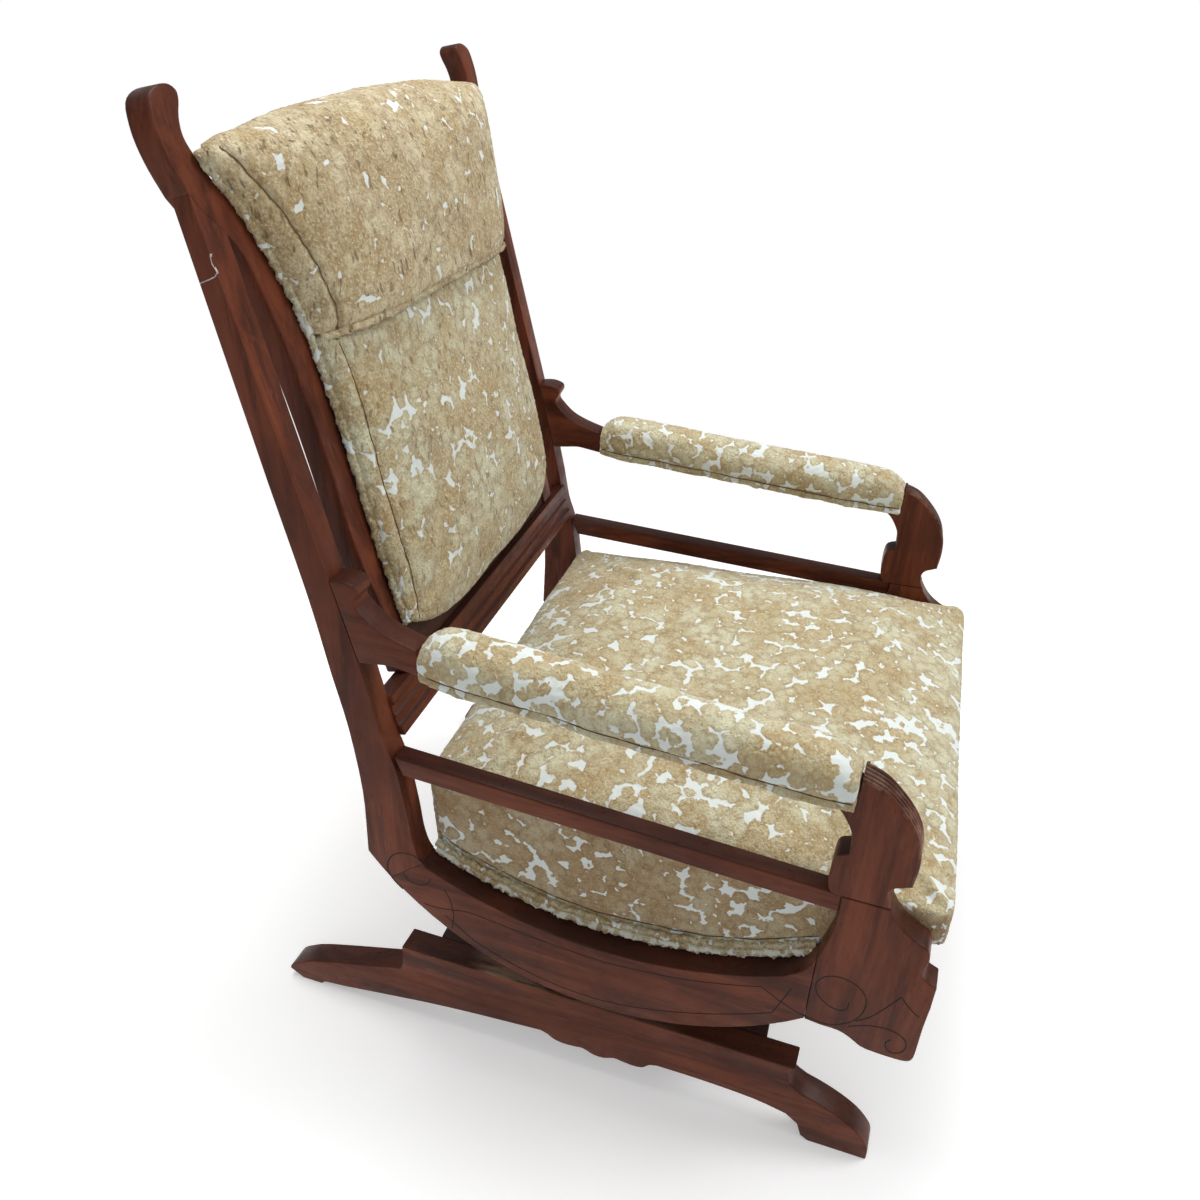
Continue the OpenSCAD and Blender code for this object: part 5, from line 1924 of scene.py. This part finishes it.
        up, down = paired_grids(48, 24, place)
        inwards = Vector((0.006, 0, 0))
        edge = [p for row in down[::2] if abs(row[0].y - SHIFT - ROLL_Y) > 0.06
                for p in (row[0] + inwards, row[-1] - inwards)]
        mesh = sheet_block("dust_cover_cambric", up, down)
        sheet = put("dust_cover_cambric", mesh, self.finishes.cambric, "chair", WIRE_EDGE, "cambric",
                    "dust_cover")
        length = sum((b[0] - a[0]).length for a, b in zip(up[:-1], up[1:]))
        heads = self.tacks.run("dust_cover_tacks", edge, [Vector((0, 0, -1))] * len(edge), 0.0030,
                               self.finishes.iron)
        put("dust_cover_tacks", heads, self.finishes.iron, "chair", WIRE_EDGE, "bracket_iron")


@dataclass
class Studio:
    """The camera at the photograph's angle, soft lamps and a pale floor."""

    azimuth: float = math.radians(-77.9472)
    elevation: float = math.radians(33.0905)
    roll: float = math.radians(4.2167)
    place: tuple[float, float, float] = (-1.06127, -0.25623 + SHIFT, 1.16377)
    focal: float = 1036.715
    centre: tuple[float, float] = (666.5078, 627.6051)
    frame_px: float = 1200.0
    floor_size: float = 6.0

    def build(self) -> None:
        """Sets up the camera, lamps, world and floor."""
        self.camera()
        self.floor()
        self.world()
        self.lamp("key", (0.9, -2.4, 3.0), (0, 0, 0.5), 1.8, 58.0)
        self.lamp("fill", (-3.2, -0.6, 2.2), (0, 0, 0.5), 2.2, 14.0)
        self.lamp("top", (0.3, 0.5, 3.3), (0, 0, 0.4), 1.8, 62.0)
        scene = bpy.context.scene
        scene.view_settings.view_transform = "Standard"

    def camera(self) -> None:
        """Places the camera and its shift."""
        a, e, r = self.azimuth, self.elevation, self.roll
        back = Vector((math.sin(a) * math.cos(e), -math.cos(a) * math.cos(e), math.sin(e)))
        right = (-back).cross(Vector((0, 0, 1))).normalized()
        up = right.cross(-back)
        right2 = right * math.cos(r) + up * math.sin(r)
        up2 = -right * math.sin(r) + up * math.cos(r)
        cam = bpy.data.cameras.new("photo_camera")
        cam.sensor_width = 36.0
        cam.lens = self.focal / self.frame_px * 36.0
        cam.shift_x = -(self.centre[0] - self.frame_px / 2) / self.frame_px
        cam.shift_y = (self.centre[1] - self.frame_px / 2) / self.frame_px
        cam.clip_start = 0.05
        obj = bpy.data.objects.new("photo_camera", cam)
        m = Matrix((right2, up2, back)).transposed().to_4x4()
        m.translation = Vector(self.place)
        obj.matrix_world = m
        bpy.context.scene.collection.objects.link(obj)
        bpy.context.scene.camera = obj

    def floor(self) -> None:
        """Lays the pale floor."""
        h = self.floor_size
        mesh = mesh_of("studio_floor",
                       [(-h, -h, -0.0002), (h, -h, -0.0002), (h, h, -0.0002), (-h, h, -0.0002)],
                       [(0, 1, 2, 3)])
        b = NodeBook("studio_floor")
        b.set(Base_Color=(0.86, 0.86, 0.86, 1.0), Roughness=0.9)
        rays = b.add("ShaderNodeLightPath")
        glow = b.add("ShaderNodeEmission")
        glow.inputs["Color"].default_value = (1, 1, 1, 1)
        both = b.add("ShaderNodeAddShader")
        seen = b.math("MAXIMUM", rays.outputs["Is Camera Ray"], rays.outputs["Is Glossy Ray"])
        b.join(b.math("MULTIPLY", seen, 0.30), glow.inputs["Strength"])
        b.join(b.shader.outputs[0], both.inputs[0])
        b.join(glow.outputs[0], both.inputs[1])
        away = b.add("ShaderNodeVectorMath", operation="LENGTH")
        b.join(b.place((1, 1, 1)), away.inputs[0])
        far = b.math("MULTIPLY", seen, b.span(away.outputs["Value"], 0.75, 1.6))
        white = b.add("ShaderNodeEmission")
        white.inputs["Color"].default_value = (1, 1, 1, 1)
        fade = b.add("ShaderNodeMixShader")
        b.join(far, fade.inputs[0])
        b.join(both.outputs[0], fade.inputs[1])
        b.join(white.outputs[0], fade.inputs[2])
        b.join(fade.outputs[0], b.out.inputs[0])
        mesh.materials.append(b.mat)
        obj = bpy.data.objects.new("studio_floor", mesh)
        bpy.context.scene.collection.objects.link(obj)

    def world(self) -> None:
        """Makes the world white to the camera and soft to the chair."""
        world = bpy.data.worlds.new("studio_world")
        world.use_nodes = True
        tree = world.node_tree
        tree.nodes.clear()
        out = tree.nodes.new("ShaderNodeOutputWorld")
        sky = tree.nodes.new("ShaderNodeBackground")
        rays = tree.nodes.new("ShaderNodeLightPath")
        most = tree.nodes.new("ShaderNodeMath")
        most.operation = "MAXIMUM"
        tree.links.new(rays.outputs["Is Camera Ray"], most.inputs[0])
        tree.links.new(rays.outputs["Is Transmission Ray"], most.inputs[1])
        level = tree.nodes.new("ShaderNodeMapRange")
        level.inputs["To Min"].default_value = 0.36
        level.inputs["To Max"].default_value = 1.0
        tree.links.new(most.outputs[0], level.inputs["Value"])
        sky.inputs["Color"].default_value = (1, 1, 1, 1)
        tree.links.new(level.outputs[0], sky.inputs["Strength"])
        tree.links.new(sky.outputs[0], out.inputs[0])
        bpy.context.scene.world = world

    def lamp(self, name: str, place: tuple[float, float, float], aim: tuple[float, float, float],
             size: float, power: float) -> None:
        """Hangs one soft square lamp.

        Args:
            name: its name.
            place: where it hangs.
            aim: where it points.
            size: its side.
            power: its watts.
        """
        data = bpy.data.lights.new(name, "AREA")
        data.shape = "SQUARE"
        data.size = size
        data.energy = power
        obj = bpy.data.objects.new(name, data)
        obj.location = place
        obj.rotation_euler = (Vector(aim) - Vector(place)).to_track_quat("-Z", "Y").to_euler()
        bpy.context.scene.collection.objects.link(obj)


def main() -> None:
    """Builds the chair's sub-assemblies in order."""
    logging.basicConfig(level=logging.INFO, format="%(name)s: %(message)s")
    finishes = Finishes()
    paths, tacks = PathTree(), TackTree()
    platform = Platform(finishes, paths)
    platform.build()
    for side in Side:
        platform.bracket(f"upper_spring_bracket_{side.word}", "chair")
    SideFrames(finishes, paths).build()
    BackFrame(finishes).build()
    ArmPads(finishes, paths).build()
    BackPads(finishes, paths).build()
    Seat(finishes, paths, tacks).build()
    dress("chair_screws", finishes.steel)
    Studio().build()


if __name__ == "__main__":
    main()
